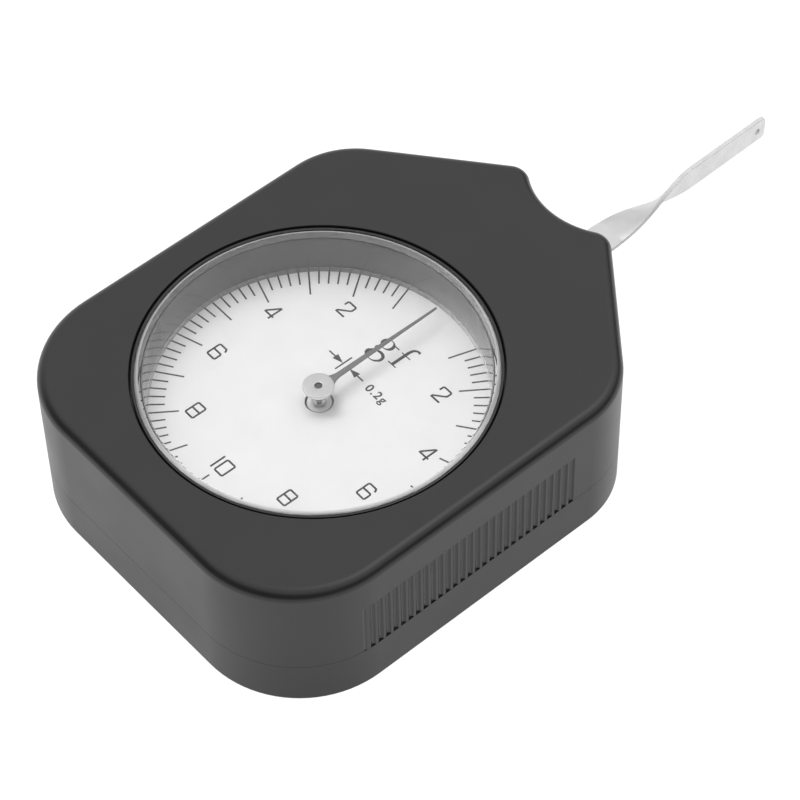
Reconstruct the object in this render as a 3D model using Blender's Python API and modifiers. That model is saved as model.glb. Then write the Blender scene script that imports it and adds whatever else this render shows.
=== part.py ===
"""Dial tension gauge: a moulded two-part case, a dial that turns to zero, and a lever that works a pointer.

The origin is the pointer's axis on the flat back of the case: +X to the dial's right, +Y to the lever,
+Z out of the dial. All sizes are in metres.
"""

import math

import bmesh
import bpy
from mathutils import Matrix, Vector

for old in list(bpy.data.objects):
    bpy.data.objects.remove(old, do_unlink=True)

# Gaps kept between the pieces
seat_gap = 0.0002
clamp_gap = 0.0001
running_gap = 0.0003
bearing_gap = 0.00005
hole_gap = 0.0001
overrun = 0.001
weld_distance = 0.000001

# Window in the case's front, and the lever's axis, from the dial's centre
window_radius = 0.02555
lever_axis_y = 0.026

# Case, in plan round the window and the lever's axis
window_to_side = 0.00545
window_to_bottom = 0.00685
dial_to_shoulder = 0.02825
lever_to_horn = 0.0205
notch_depth = 0.0032
horn_half_span = 0.0085
bottom_corner_radius = 0.0162
shoulder_radius = 0.0128
horn_radius = 0.003
least_corner_radius = 0.0005

# Case, through its thickness
parting_height = 0.0077
front_wall = 0.002
case_wall = 0.0022
cover_floor = 0.002
front_rim_radius = 0.0016
back_rim_radius = 0.0007
lip_wall = 0.0009
lip_height = 0.0012

# Grip grooves in the case's two sides
groove_count = 29
groove_pitch = 0.00132
groove_width = 0.00092
groove_depth = 0.00025
groove_top = 0.0174

# Case posts and their screws, which go in from the back
case_post_radius = 0.0027
case_post_margin = 0.0009
case_screw_radius = 0.001
case_screw_length = 0.012
case_head_radius = 0.0021
case_head_height = 0.0013
head_recess = 0.0003
recess_length_share = 1.3
recess_width_share = 0.28

# The ring that turns in the window, its crystal and the dial
ring_lip_wall = 0.0003
ring_wall = 0.00145
ring_shelf_width = 0.0024
ring_shelf_thickness = 0.0008
guide_wall = 0.0012
guide_height = 0.0025
crystal_thickness = 0.0015
crystal_skirt_wall = 0.0015
crystal_skirt_draft = 0.00075
crystal_edge_width = 0.00055
crystal_edge_drop = 0.00025
dial_depth = 0.00815
dial_thickness = 0.0005
dial_margin = 0.0003
dial_hole_radius = 0.002
washer_height = 0.0006
washer_thickness = 0.0003
washer_margin = 0.0003
washer_waves = 3

# Movement plates
plate_thickness = 0.001
plate_margin = 0.0008
plate_post_radius = 0.0022
plate_post_margin = 0.0008
plate_post_half_span = 0.0125
plate_screw_radius = 0.0008
plate_screw_length = 0.0045
plate_head_radius = 0.0016
plate_head_height = 0.0009
bridge_thickness = 0.001
bridge_clearance = 0.0026
bridge_margin = 0.0034
pillar_radius = 0.0016
pillar_half_span = 0.011
pillar_height = 0.012
pillar_to_bottom = 0.008
tenon_radius = 0.0009
bridge_screw_radius = 0.0006
bridge_screw_length = 0.0035
bridge_head_radius = 0.0013
bridge_head_height = 0.0008

# Bearings
bush_radius = 0.0015
bush_flange_radius = 0.0022
bush_flange_thickness = 0.0004
pointer_bush_radius = 0.00175
bush_to_dial_face = 0.0002
pivot_radius = 0.0005

# Measuring lever and its arbor
lever_swing = math.radians(10)
lever_thickness = 0.0007
lever_root_width = 0.00505
lever_waist_width = 0.0041
lever_tip_width = 0.004
lever_tip_rise = 0.00068
lever_flat_length = 0.028
lever_taper_length = 0.0096
lever_end_length = 0.0231
lever_twist_length = 0.0138
lever_tip_radius = 0.0008
tip_hole_radius = 0.0005
tip_hole_margin = 0.0016
eye_radius = 0.0038
slot_margin = 0.0005
slot_half_height = 0.0016
stop_to_notch = 0.0021
stop_radius = 0.0008
stop_gap = 0.00015
arbor_radius = 0.0008
hub_radius = 0.0017
hub_flange_thickness = 0.0008
hub_stand = 0.0003
rivet_radius = 0.00055
rivet_head_radius = 0.00095
rivet_head_height = 0.00025

# Measuring spring
spring_height = 0.0008
spring_strip = 0.0002
spring_pitch = 0.001
spring_turns = 5
spring_stud_radius = 0.0006
spring_stud_angle = math.radians(160)
collet_wall = 0.0011
collet_height = 0.0016

# Gears: the lever's sector drives the pinion on the pointer's arbor
gear_ratio = 18
pinion_teeth = 12
sector_teeth = 15
pressure_angle = math.radians(25)
tooth_backlash = 0.00004
pinion_addendum_share = 0.9
sector_addendum_share = 0.75
dedendum_share = 1.05
sector_thickness = 0.0008
pinion_face = 0.0014
sector_arm_width = 0.0019
sector_rim_width = 0.0021
sector_window_top = 0.0062
sector_window_half_width = 0.0019

# Pointer
pointer_stand = 0.00267
pointer_thickness = 0.00025
pointer_length = 0.0215
pointer_root_half_width = 0.00042
pointer_tip_half_width = 0.00014
pointer_ring_radius = 0.002
pointer_flare_radius = 0.0034
pointer_cap_radius = 0.0022
pointer_cap_thickness = 0.00042
pointer_cap_edge = 0.00017
pointer_neck_radius = 0.00072
pointer_collar_radius = 0.001
pointer_collar_foot = 0.0004
pointer_collar_slope = 0.0005
pointer_collar_length = 0.0026
pointer_arbor_radius = 0.00045
pointer_core_radius = 0.00064

# Hairspring
hairspring_height = 0.00035
hairspring_strip = 0.00012
hairspring_pitch = 0.00064
hairspring_turns = 5
hairspring_stud_radius = 0.0004
hairspring_stud_angle = math.radians(200)
hairspring_collet_wall = 0.0005
hairspring_collet_height = 0.0006

# Facets
window_steps = 60
post_steps = 16
screw_steps = 12
bearing_steps = 16
spring_steps = 18
twist_steps = 14

# Levels, stacked up from the back of the case to its front
bridge_low = cover_floor + bridge_clearance
bridge_top = bridge_low + bridge_thickness
rear_bush_top = bridge_top + clamp_gap + bush_flange_thickness
collet_low = rear_bush_top + clamp_gap
collet_high = collet_low + collet_height
rivet_low = collet_high + clamp_gap + rivet_head_height
hub_flange_low = rivet_low + clamp_gap
hub_flange_top = hub_flange_low + hub_flange_thickness
lever_low = hub_flange_top + clamp_gap
lever_level = lever_low + lever_thickness / 2
lever_high = lever_low + lever_thickness
sector_low = lever_high + clamp_gap
sector_high = sector_low + sector_thickness
rivet_high = sector_high + clamp_gap
pinion_low = (sector_low + sector_high - pinion_face) / 2
pinion_high = pinion_low + pinion_face
hairspring_collet_low = pinion_high + clamp_gap
hairspring_collet_high = hairspring_collet_low + hairspring_collet_height
front_bush_low = hairspring_collet_high + clamp_gap
plate_low = front_bush_low + bush_flange_thickness + clamp_gap
plate_top = plate_low + plate_thickness
washer_low = plate_top + seat_gap
ring_low = washer_low + washer_height + seat_gap
ring_shelf = ring_low + ring_shelf_thickness
dial_back = ring_shelf + seat_gap
dial_face = dial_back + dial_thickness
pointer_low = dial_face + pointer_stand
pointer_high = pointer_low + pointer_thickness
case_depth = dial_face + dial_depth
front_underside = case_depth - front_wall
housing_low = parting_height + clamp_gap

# Radii and reaches worked out from the sizes above
half_width = window_radius + window_to_side
dial_to_bottom = window_radius + window_to_bottom
dial_to_horn = lever_axis_y + lever_to_horn
dial_to_notch = dial_to_horn - notch_depth
ring_lip_radius = window_radius - running_gap
ring_bore = ring_lip_radius - ring_lip_wall
ring_radius = ring_bore + ring_wall
crystal_radius = ring_bore - hole_gap
lever_taper_start = lever_axis_y + lever_flat_length
lever_waist = lever_taper_start + lever_taper_length
lever_tip = lever_waist + lever_end_length
stop_reach = dial_to_notch - case_wall - stop_to_notch - lever_axis_y
rivet_circle_radius = (hub_radius + eye_radius) / 2
spring_inner_radius = arbor_radius + hole_gap + collet_wall + clamp_gap + spring_strip / 2
spring_outer_radius = spring_inner_radius + spring_turns * spring_pitch
hairspring_collet_radius = pointer_core_radius + hole_gap + hairspring_collet_wall
hairspring_inner_radius = hairspring_collet_radius + clamp_gap + hairspring_strip / 2
hairspring_outer_radius = hairspring_inner_radius + hairspring_turns * hairspring_pitch
pinion_pitch_radius = lever_axis_y / (1 + gear_ratio)
sector_pitch_radius = lever_axis_y - pinion_pitch_radius
gear_module = 2 * pinion_pitch_radius / pinion_teeth
sector_circle_teeth = pinion_teeth * gear_ratio

gauge = bpy.data.collections.new("dial_tension_gauge")
bpy.context.scene.collection.children.link(gauge)
cutters = bpy.data.collections.new("cutters")
cutters.hide_render = True
bpy.context.scene.collection.children.link(cutters)


def finish(name, colour, roughness, metallic):
    """A Principled material of one colour."""
    material = bpy.data.materials.new(name)
    material.use_nodes = True
    shader = material.node_tree.nodes["Principled BSDF"]
    shader.inputs["Base Color"].default_value = (*colour, 1)
    shader.inputs["Roughness"].default_value = roughness
    shader.inputs["Metallic"].default_value = metallic
    return material


def piece(name, mesh, look, parent=None):
    """A finished sub-part in the gauge's collection, with a material of its own."""
    obj = bpy.data.objects.new(name, mesh)
    gauge.objects.link(obj)
    mesh.materials.clear()
    mesh.materials.append(finish(name, *look))
    mesh.shade_smooth()
    mesh.set_sharp_from_angle(angle=math.radians(30))
    if parent:
        obj.parent = parent
        obj.matrix_parent_inverse = parent.matrix_basis.inverted()
    return obj


def cutter(name, mesh):
    """A guide shape for a Boolean, left out of the part."""
    obj = bpy.data.objects.new(name, mesh)
    obj.hide_render = True
    obj.display_type = "WIRE"
    cutters.objects.link(obj)
    return obj


def combine(obj, operation, name, mesh):
    """Cuts the mesh out of an object, or joins it on."""
    modifier = obj.modifiers.new(name, "BOOLEAN")
    modifier.operation = operation
    modifier.solver = "EXACT"
    modifier.object = cutter(f"{obj.name}_{name}", mesh)


def cut(obj, name, mesh):
    combine(obj, "DIFFERENCE", name, mesh)


def join(obj, name, mesh):
    combine(obj, "UNION", name, mesh)


def evaluated_mesh(obj):
    """The object's shape with its modifiers applied, as a mesh in the part's frame."""
    seen = obj.evaluated_get(bpy.context.evaluated_depsgraph_get())
    mesh = bpy.data.meshes.new_from_object(seen)
    mesh.transform(obj.matrix_world)
    return mesh


def slab(points, low, high):
    """A plate between two heights with the given closed outline, as a filled 2D curve made a mesh."""
    curve = bpy.data.curves.new("outline", "CURVE")
    curve.dimensions = "2D"
    curve.fill_mode = "BOTH"
    curve.extrude = (high - low) / 2
    spline = curve.splines.new("POLY")
    spline.points.add(len(points) - 1)
    for point, (x, y) in zip(spline.points, points):
        point.co = (x, y, 0, 1)
    spline.use_cyclic_u = True
    guide = bpy.data.objects.new("outline", curve)
    guide.location.z = (low + high) / 2
    cutters.objects.link(guide)
    bpy.context.view_layer.update()
    mesh = evaluated_mesh(guide)
    bpy.data.objects.remove(guide, do_unlink=True)
    bm = bmesh.new()
    bm.from_mesh(mesh)
    bmesh.ops.remove_doubles(bm, verts=bm.verts, dist=weld_distance)
    bmesh.ops.dissolve_limit(bm, angle_limit=math.radians(0.1), verts=bm.verts, edges=bm.edges)
    bm.to_mesh(mesh)
    bm.free()
    return mesh


def round_rim(mesh, level, radius, segments):
    """Rounds the outline's edge at one height."""
    bm = bmesh.new()
    bm.from_mesh(mesh)
    rim = [e for e in bm.edges if all(abs(v.co.z - level) < weld_distance for v in e.verts)]
    bmesh.ops.bevel(
        bm, geom=rim, offset=radius, segments=segments, profile=0.5, affect="EDGES", clamp_overlap=False
    )
    bm.to_mesh(mesh)
    bm.free()
    return mesh


def turned(profile, steps, closed=False, x=0, y=0):
    """A turned shape: its profile (radius, height) runs down the outer side, top to bottom."""
    mesh = bpy.data.meshes.new("profile")
    bm = bmesh.new()
    verts = [bm.verts.new((radius, 0, height)) for radius, height in profile]
    for first, second in zip(verts, verts[1:]):
        bm.edges.new((first, second))
    if closed:
        bm.edges.new((verts[-1], verts[0]))
    bm.to_mesh(mesh)
    bm.free()
    guide = bpy.data.objects.new("profile", mesh)
    screw = guide.modifiers.new("turn", "SCREW")
    screw.axis = "Z"
    screw.steps = steps
    screw.render_steps = steps
    screw.use_merge_vertices = True
    screw.merge_threshold = weld_distance
    guide.location = (x, y, 0)
    cutters.objects.link(guide)
    bpy.context.view_layer.update()
    shape = evaluated_mesh(guide)
    bpy.data.objects.remove(guide, do_unlink=True)
    return shape


def rods(places, radius, low, high, steps):
    """Upright cylinders at the given places."""
    bm = bmesh.new()
    for x, y in places:
        middle = Matrix.Translation((x, y, (low + high) / 2))
        bmesh.ops.create_cone(
            bm, cap_ends=True, segments=steps, radius1=radius, radius2=radius, depth=high - low, matrix=middle
        )
    mesh = bpy.data.meshes.new("rods")
    bm.to_mesh(mesh)
    bm.free()
    return mesh


def boxes(corners):
    """Boxes from pairs of lowest and highest corners."""
    bm = bmesh.new()
    for low, high in corners:
        low, high = Vector(low), Vector(high)
        place = Matrix.Translation((low + high) / 2) @ Matrix.Diagonal((*(high - low), 1))
        bmesh.ops.create_cube(bm, size=1, matrix=place)
    mesh = bpy.data.meshes.new("boxes")
    bm.to_mesh(mesh)
    bm.free()
    return mesh


def arc(centre, radius, start, end, steps):
    """Points along an arc, both ends included."""
    angles = [start + (end - start) * i / steps for i in range(steps + 1)]
    return [(centre[0] + radius * math.cos(a), centre[1] + radius * math.sin(a)) for a in angles]


def mirrored(half):
    """A right half, listed from the bottom to the top, together with its mirror image."""
    left = [(-x, y) for x, y in reversed(half) if x > weld_distance]
    return half + left


def rounded_hull(corners, radius, steps):
    """A convex outline with every corner rounded outwards by the radius."""
    points = []
    for i, corner in enumerate(corners):
        before = Vector(corner) - Vector(corners[i - 1])
        after = Vector(corners[(i + 1) % len(corners)]) - Vector(corner)
        start = math.atan2(-before.x, before.y)
        turn = (math.atan2(-after.x, after.y) - start) % math.tau
        points += arc(corner, radius, start, start + turn, steps)
    return points


# The case's plan
shoulder_slope = Vector((horn_half_span - half_width, dial_to_horn - dial_to_shoulder)).normalized()
shoulder_normal = Vector((shoulder_slope.y, -shoulder_slope.x))
shoulder_reach = shoulder_normal.dot(Vector((half_width, dial_to_shoulder)))
shoulder_angle = math.atan2(shoulder_normal.y, shoulder_normal.x)
bottom_centre = Vector((half_width - bottom_corner_radius, bottom_corner_radius - dial_to_bottom))
shoulder_x = half_width - shoulder_radius
shoulder_y = (shoulder_reach - shoulder_radius - shoulder_normal.x * shoulder_x) / shoulder_normal.y
shoulder_centre = Vector((shoulder_x, shoulder_y))
notch_radius = (horn_half_span**2 + notch_depth**2) / (2 * notch_depth)
notch_centre = Vector((0, dial_to_notch + notch_radius))


def case_outline(inset):
    """The case's plan drawn in by an inset, anticlockwise, with the notch between its two horns."""
    horn_round = max(horn_radius - inset, least_corner_radius)
    inward = shoulder_reach - inset - horn_round - shoulder_normal.dot(notch_centre)
    reach = notch_radius + inset + horn_round
    along = math.sqrt(reach**2 - inward**2)
    horn_centre = notch_centre + shoulder_normal * inward - shoulder_slope * along
    to_notch = notch_centre - horn_centre
    notch_start = math.atan2(-to_notch.y, -to_notch.x)
    half = arc(bottom_centre, bottom_corner_radius - inset, -math.pi / 2, 0, 9)
    half += arc(shoulder_centre, shoulder_radius - inset, 0, shoulder_angle, 5)
    half += arc(horn_centre, horn_round, shoulder_angle, math.atan2(to_notch.y, to_notch.x), 4)
    half += arc(notch_centre, notch_radius + inset, notch_start, -math.pi / 2, 5)[1:]
    return mirrored(half)


# Places of the posts and pillars
bottom_diagonal = Vector((1, -1)).normalized()
case_post_inset = case_wall + case_post_margin + case_post_radius
case_post_low = bottom_centre + bottom_diagonal * (bottom_corner_radius - case_post_inset)
shoulder_middle = Vector((math.cos(shoulder_angle / 2), math.sin(shoulder_angle / 2)))
case_post_high = shoulder_centre + shoulder_middle * (shoulder_radius - case_post_inset)
plate_post_inset = case_wall + plate_post_margin + plate_post_radius
plate_post_low = Vector((bottom_centre.x, plate_post_inset - dial_to_bottom))
plate_post_reach = shoulder_reach - plate_post_inset - shoulder_normal.x * plate_post_half_span
plate_post_high = Vector((plate_post_half_span, plate_post_reach / shoulder_normal.y))
sides = (1, -1)
case_posts = [(side * post.x, post.y) for post in (case_post_low, case_post_high) for side in sides]
plate_posts = [(side * post.x, post.y) for post in (plate_post_low, plate_post_high) for side in sides]
pillars = [(side * pillar_half_span, pillar_height) for side in sides] + [(0, -pillar_to_bottom)]

# Colours as base colour, roughness and metallic
black_plastic = ((0.055, 0.055, 0.056), 0.5, 0)
clear_acrylic = ((0.85, 0.87, 0.87), 0.05, 0)
dial_silver = ((0.8, 0.8, 0.79), 0.45, 0.2)
steel = ((0.56, 0.56, 0.57), 0.3, 1)
spring_steel = ((0.32, 0.34, 0.4), 0.3, 1)
brass = ((0.7, 0.53, 0.25), 0.3, 1)
aluminium = ((0.78, 0.78, 0.79), 0.3, 1)
pointer_grey = ((0.21, 0.21, 0.22), 0.4, 0)

lever_pivot = bpy.data.objects.new("lever_pivot", None)
lever_pivot.location = (0, lever_axis_y, lever_level)
pointer_axis = bpy.data.objects.new("pointer_axis", None)
pointer_axis.location = (0, 0, pinion_low)
dial_axis = bpy.data.objects.new("dial_axis", None)
dial_axis.location = (0, 0, dial_face)
for empty in (lever_pivot, pointer_axis, dial_axis):
    gauge.objects.link(empty)


def lever_slot_half_width():
    """Half the width that the swinging blade needs where it leaves between the horns."""
    reach = dial_to_horn - lever_axis_y
    return reach * math.tan(lever_swing) + lever_root_width / 2 + slot_margin


def build_front_housing():
    """The front half of the case: an open shell with the window, posts, the ring's guide and the grips."""
    block = round_rim(slab(case_outline(0), housing_low, case_depth), case_depth, front_rim_radius, 4)
    housing = piece("front_housing", block, black_plastic)
    cut(housing, "cavity", slab(case_outline(case_wall), housing_low - overrun, front_underside))
    root = case_depth - front_wall / 2
    join(housing, "case_posts", rods(case_posts, case_post_radius, housing_low, root, post_steps))
    join(housing, "plate_posts", rods(plate_posts, plate_post_radius, plate_top + seat_gap, root, post_steps))
    guide_bore = ring_radius + running_gap
    guide_low = front_underside - guide_height
    guide = [(guide_bore + guide_wall, root), (guide_bore + guide_wall, guide_low)]
    guide += [(guide_bore, guide_low), (guide_bore, root)]
    join(housing, "ring_guide", turned(guide, window_steps, closed=True))
    window = rods([(0, 0)], window_radius, front_underside - overrun, case_depth + overrun, window_steps)
    cut(housing, "window", window)
    groove_radius = ((groove_width / 2) ** 2 + groove_depth**2) / (2 * groove_depth)
    grooves = []
    for side in sides:
        x = side * (half_width + groove_radius - groove_depth)
        grooves += [(x, (i - (groove_count - 1) / 2) * groove_pitch) for i in range(groove_count)]
    low = housing_low - overrun
    cut(housing, "grip_grooves", rods(grooves, groove_radius, low, groove_top, post_steps))
    across = lever_slot_half_width()
    low = (-across, dial_to_notch - case_wall - overrun, housing_low - overrun)
    high = (across, dial_to_horn + overrun, lever_level + slot_half_height)
    cut(housing, "lever_slot", boxes([(low, high)]))
    pilot_top = head_recess + case_head_height + case_screw_length + overrun
    pilot_radius = case_screw_radius + hole_gap
    cut(housing, "case_pilots", rods(case_posts, pilot_radius, housing_low - overrun, pilot_top, screw_steps))
    plate_pilot_top = plate_low + plate_screw_length + overrun
    plate_pilot = plate_screw_radius + hole_gap
    cut(housing, "plate_pilots", rods(plate_posts, plate_pilot, plate_top, plate_pilot_top, screw_steps))


def build_back_cover():
    """The back half of the case: a shallow tray with a lip inside the housing's wall and four screw posts."""
    tray = round_rim(slab(case_outline(0), 0, parting_height), 0, back_rim_radius, 2)
    cover = piece("back_cover", tray, black_plastic)
    lip_inset = case_wall + running_gap
    lip_top = parting_height + lip_height
    join(cover, "lip", slab(case_outline(lip_inset), cover_floor, lip_top))
    cut(cover, "cavity", slab(case_outline(lip_inset + lip_wall), cover_floor, lip_top + overrun))
    across = lever_slot_half_width()
    low = (-across, dial_to_notch - case_wall - lip_wall - overrun, parting_height)
    high = (across, dial_to_horn + overrun, lip_top + overrun)
    cut(cover, "mouth", boxes([(low, high)]))
    around = case_post_radius + running_gap
    cut(cover, "post_room", rods(case_posts, around, parting_height, lip_top + overrun, post_steps))
    join(cover, "posts", rods(case_posts, case_post_radius, cover_floor / 2, parting_height, post_steps))
    clearance = case_screw_radius + 2 * hole_gap
    cut(cover, "screw_holes", rods(case_posts, clearance, -overrun, parting_height + overrun, screw_steps))
    head_space = case_head_radius + running_gap
    head_top = head_recess + case_head_height + seat_gap
    cut(cover, "head_recesses", rods(case_posts, head_space, -overrun, head_top, post_steps))


def cross_outline(length, width):
    """The outline of a cross recess."""
    reach = length / 2
    half = width / 2
    quarter = [(half, half), (half, reach), (-half, reach)]
    points = []
    for turn in range(4):
        spin = Matrix.Rotation(turn * math.pi / 2, 2)
        points += [tuple(spin @ Vector(point)) for point in quarter]
    return points


def screw_shape(shank_radius, length, head_radius, head_height, seat):
    """A cheese-head screw with a cross recess, its head below the seat and its shank up, as a mesh."""
    head_face = seat - head_height
    profile = [(0, seat + length), (shank_radius, seat + length), (shank_radius, seat)]
    profile += [(head_radius, seat), (head_radius, head_face), (0, head_face)]
    blank = cutter("screw_blank", turned(profile, screw_steps))
    recess = cross_outline(recess_length_share * head_radius, recess_width_share * head_radius)
    cut(blank, "recess", slab(recess, head_face - overrun, head_face + head_height / 2))
    shape = evaluated_mesh(blank)
    bpy.data.objects.remove(blank, do_unlink=True)
    return shape


def place_screws(name, shape, places):
    """One screw at each place, with a mesh and a material of its own."""
    for i, (x, y) in enumerate(places):
        screw = piece(f"{name}_{i + 1}", shape.copy(), steel)
        screw.location = (x, y, 0)


def build_screws():
    """The case's screws from the back, and the screws of the two movement plates."""
    seat = head_recess + case_head_height
    shape = screw_shape(case_screw_radius, case_screw_length, case_head_radius, case_head_height, seat)
    place_screws("case_screw", shape, case_posts)
    seat = plate_low - seat_gap
    shape = screw_shape(plate_screw_radius, plate_screw_length, plate_head_radius, plate_head_height, seat)
    place_screws("plate_screw", shape, plate_posts)
    seat = bridge_low - seat_gap
    head = (bridge_head_radius, bridge_head_height)
    shape = screw_shape(bridge_screw_radius, bridge_screw_length, *head, seat)
    place_screws("bridge_screw", shape, pillars)


def build_zero_ring():
    """The black ring that carries the crystal and the dial, and turns in the window to set zero."""
    lip_top = case_depth - seat_gap
    step = front_underside - seat_gap
    shelf_bore = ring_bore - ring_shelf_width
    profile = [(ring_lip_radius, lip_top), (ring_lip_radius, step), (ring_radius, step)]
    profile += [(ring_radius, ring_low), (shelf_bore, ring_low), (shelf_bore, ring_shelf)]
    profile += [(ring_bore, ring_shelf), (ring_bore, lip_top)]
    piece("zero_ring", turned(profile, window_steps, closed=True), black_plastic, dial_axis)


def build_crystal():
    """A clear cup: a flat window with a skirt down to the dial, pressed into the ring."""
    skirt_low = dial_face + clamp_gap
    foot_bore = crystal_radius - crystal_skirt_wall
    bore = foot_bore + crystal_skirt_draft
    ceiling = case_depth - crystal_thickness
    profile = [(0, case_depth), (crystal_radius - crystal_edge_width, case_depth)]
    profile += [(crystal_radius, case_depth - crystal_edge_drop), (crystal_radius, skirt_low)]
    profile += [(foot_bore, skirt_low), (bore, ceiling), (0, ceiling)]
    piece("crystal", turned(profile, window_steps), clear_acrylic, dial_axis)


def build_dial_plate():
    """The flat metal disc that carries the scale."""
    outer = ring_bore - dial_margin
    profile = [(outer, dial_face), (outer, dial_back)]
    profile += [(dial_hole_radius, dial_back), (dial_hole_radius, dial_face)]
    piece("dial_plate", turned(profile, window_steps, closed=True), dial_silver, dial_axis)


def build_wave_washer():
    """A waved ring of spring steel that presses the zero ring up against the case's front."""
    outer = ring_radius - washer_margin
    inner = ring_bore - washer_margin
    wave = (washer_height - washer_thickness) / 2
    low = washer_low + wave
    top = low + washer_thickness
    profile = [(outer, top), (outer, low), (inner, low), (inner, top)]
    mesh = turned(profile, window_steps, closed=True)
    for vertex in mesh.vertices:
        around = math.atan2(vertex.co.y, vertex.co.x)
        vertex.co.z += wave * math.cos(washer_waves * around)
    piece("wave_washer", mesh, spring_steel)


def stop_places():
    """The two stop pins, each just clear of the blade's edge at the end of its swing."""
    off = lever_root_width / 2 + stop_radius + stop_gap
    angle = lever_swing + math.asin(off / stop_reach)
    across = stop_reach * math.sin(angle)
    return [(side * across, lever_axis_y + stop_reach * math.cos(angle)) for side in sides]


def stud_place(centre_y, spring_radius, strip, stud_radius, angle):
    """Where a stud stands so that the spring's outer end reaches it."""
    reach = spring_radius + strip / 2 + clamp_gap + stud_radius
    return reach * math.cos(angle), centre_y + reach * math.sin(angle)


def build_main_plate():
    """The movement's front plate, screwed to the housing's posts."""
    outline = case_outline(case_wall + plate_margin)
    plate = piece("main_plate", slab(outline, plate_low, plate_top), brass)
    low = plate_low - overrun
    high = plate_top + overrun
    cut(plate, "post_holes", rods(case_posts, case_post_radius + running_gap, low, high, post_steps))
    cut(plate, "screw_holes", rods(plate_posts, plate_screw_radius + hole_gap, low, high, screw_steps))
    cut(plate, "tenon_holes", rods(pillars, tenon_radius + hole_gap, low, high, screw_steps))
    cut(plate, "pointer_bush_hole", rods([(0, 0)], pointer_bush_radius + hole_gap, low, high, bearing_steps))
    cut(plate, "lever_bush_hole", rods([(0, lever_axis_y)], bush_radius + hole_gap, low, high, bearing_steps))
    cut(plate, "stop_holes", rods(stop_places(), stop_radius + hole_gap, low, high, screw_steps))
    stud_hole = hairspring_stud_radius + hole_gap
    cut(plate, "stud_hole", rods([hairspring_stud], stud_hole, low, high, screw_steps))


def build_bridge_plate():
    """The movement's rear plate, on three pillars, which holds the arbors' rear bearings."""
    shoulder = lever_axis_y + spring_inner_radius + bridge_margin / 2
    narrow = spring_outer_radius
    corners = [(0, -pillar_to_bottom), (pillar_half_span, pillar_height), (narrow, shoulder)]
    corners += [(-narrow, shoulder), (-pillar_half_span, pillar_height)]
    outline = rounded_hull(corners, bridge_margin, 5)
    bridge = piece("bridge_plate", slab(outline, bridge_low, bridge_top), brass)
    low = bridge_low - overrun
    high = bridge_top + overrun
    cut(bridge, "screw_holes", rods(pillars, bridge_screw_radius + hole_gap, low, high, screw_steps))
    axes = [(0, 0), (0, lever_axis_y)]
    cut(bridge, "bush_holes", rods(axes, bush_radius + hole_gap, low, high, bearing_steps))
    cut(bridge, "stud_hole", rods([spring_stud], spring_stud_radius + hole_gap, low, high, screw_steps))


def build_movement_fixings():
    """Pillars between the plates, and the stop pins."""
    shoulder = plate_low - seat_gap
    foot = bridge_top + seat_gap
    hole = bridge_screw_radius + hole_gap
    hole_top = bridge_low + bridge_screw_length + overrun / 2
    profile = [(0, plate_top), (tenon_radius, plate_top), (tenon_radius, shoulder), (pillar_radius, shoulder)]
    profile += [(pillar_radius, foot), (hole, foot), (hole, hole_top), (0, hole_top)]
    for i, (x, y) in enumerate(pillars):
        piece(f"pillar_{i + 1}", turned(profile, screw_steps, x=x, y=y), brass)
    for i, place in enumerate(stop_places()):
        pin = rods([place], stop_radius, lever_low - clamp_gap, plate_top, bearing_steps)
        piece(f"stop_pin_{i + 1}", pin, steel)


def build_rear_bush(name, y):
    """A bearing bush pressed into the bridge plate, with its flange on the movement's side."""
    bore = pivot_radius + bearing_gap
    flange_low = rear_bush_top - bush_flange_thickness
    profile = [(bush_flange_radius, rear_bush_top), (bush_flange_radius, flange_low)]
    profile += [(bush_radius, flange_low), (bush_radius, bridge_low)]
    profile += [(bore, bridge_low), (bore, rear_bush_top)]
    piece(name, turned(profile, bearing_steps, closed=True, y=y), brass)


def build_front_bush(name, y, journal, radius, top):
    """A bearing bush pressed into the main plate, with its flange on the movement's side."""
    bore = journal + bearing_gap
    flange_top = front_bush_low + bush_flange_thickness
    profile = [(radius, top), (radius, flange_top), (bush_flange_radius, flange_top)]
    profile += [(bush_flange_radius, front_bush_low), (bore, front_bush_low), (bore, top)]
    piece(name, turned(profile, bearing_steps, closed=True, y=y), brass)


def build_bearings():
    """The four bushes that the two arbors turn in."""
    build_rear_bush("pointer_bush_rear", 0)
    build_rear_bush("lever_bush_rear", lever_axis_y)
    top = dial_face - bush_to_dial_face
    build_front_bush("pointer_bush_front", 0, pointer_arbor_radius, pointer_bush_radius, top)
    build_front_bush("lever_bush_front", lever_axis_y, pivot_radius, bush_radius, plate_top)


def tooth(pitch_radius, addendum, dedendum, flank_steps):
    """One gear tooth as (radius, angle from its middle) pairs, root to root through the tip."""
    base = pitch_radius * math.cos(pressure_angle)
    root = pitch_radius - dedendum
    tip = pitch_radius + addendum
    involute = math.tan(pressure_angle) - pressure_angle
    half = (math.pi * gear_module / 2 - tooth_backlash) / (2 * pitch_radius)
    start = max(root, base)
    radii = [start + (tip - start) * i / flank_steps for i in range(flank_steps + 1)]
    flank = []
    for radius in radii:
        roll = math.acos(min(base / radius, 1))
        flank.append((radius, half + involute - (math.tan(roll) - roll)))
    if root < base:
        flank.insert(0, (root, flank[0][1]))
    return [(radius, -angle) for radius, angle in flank] + list(reversed(flank))


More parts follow.
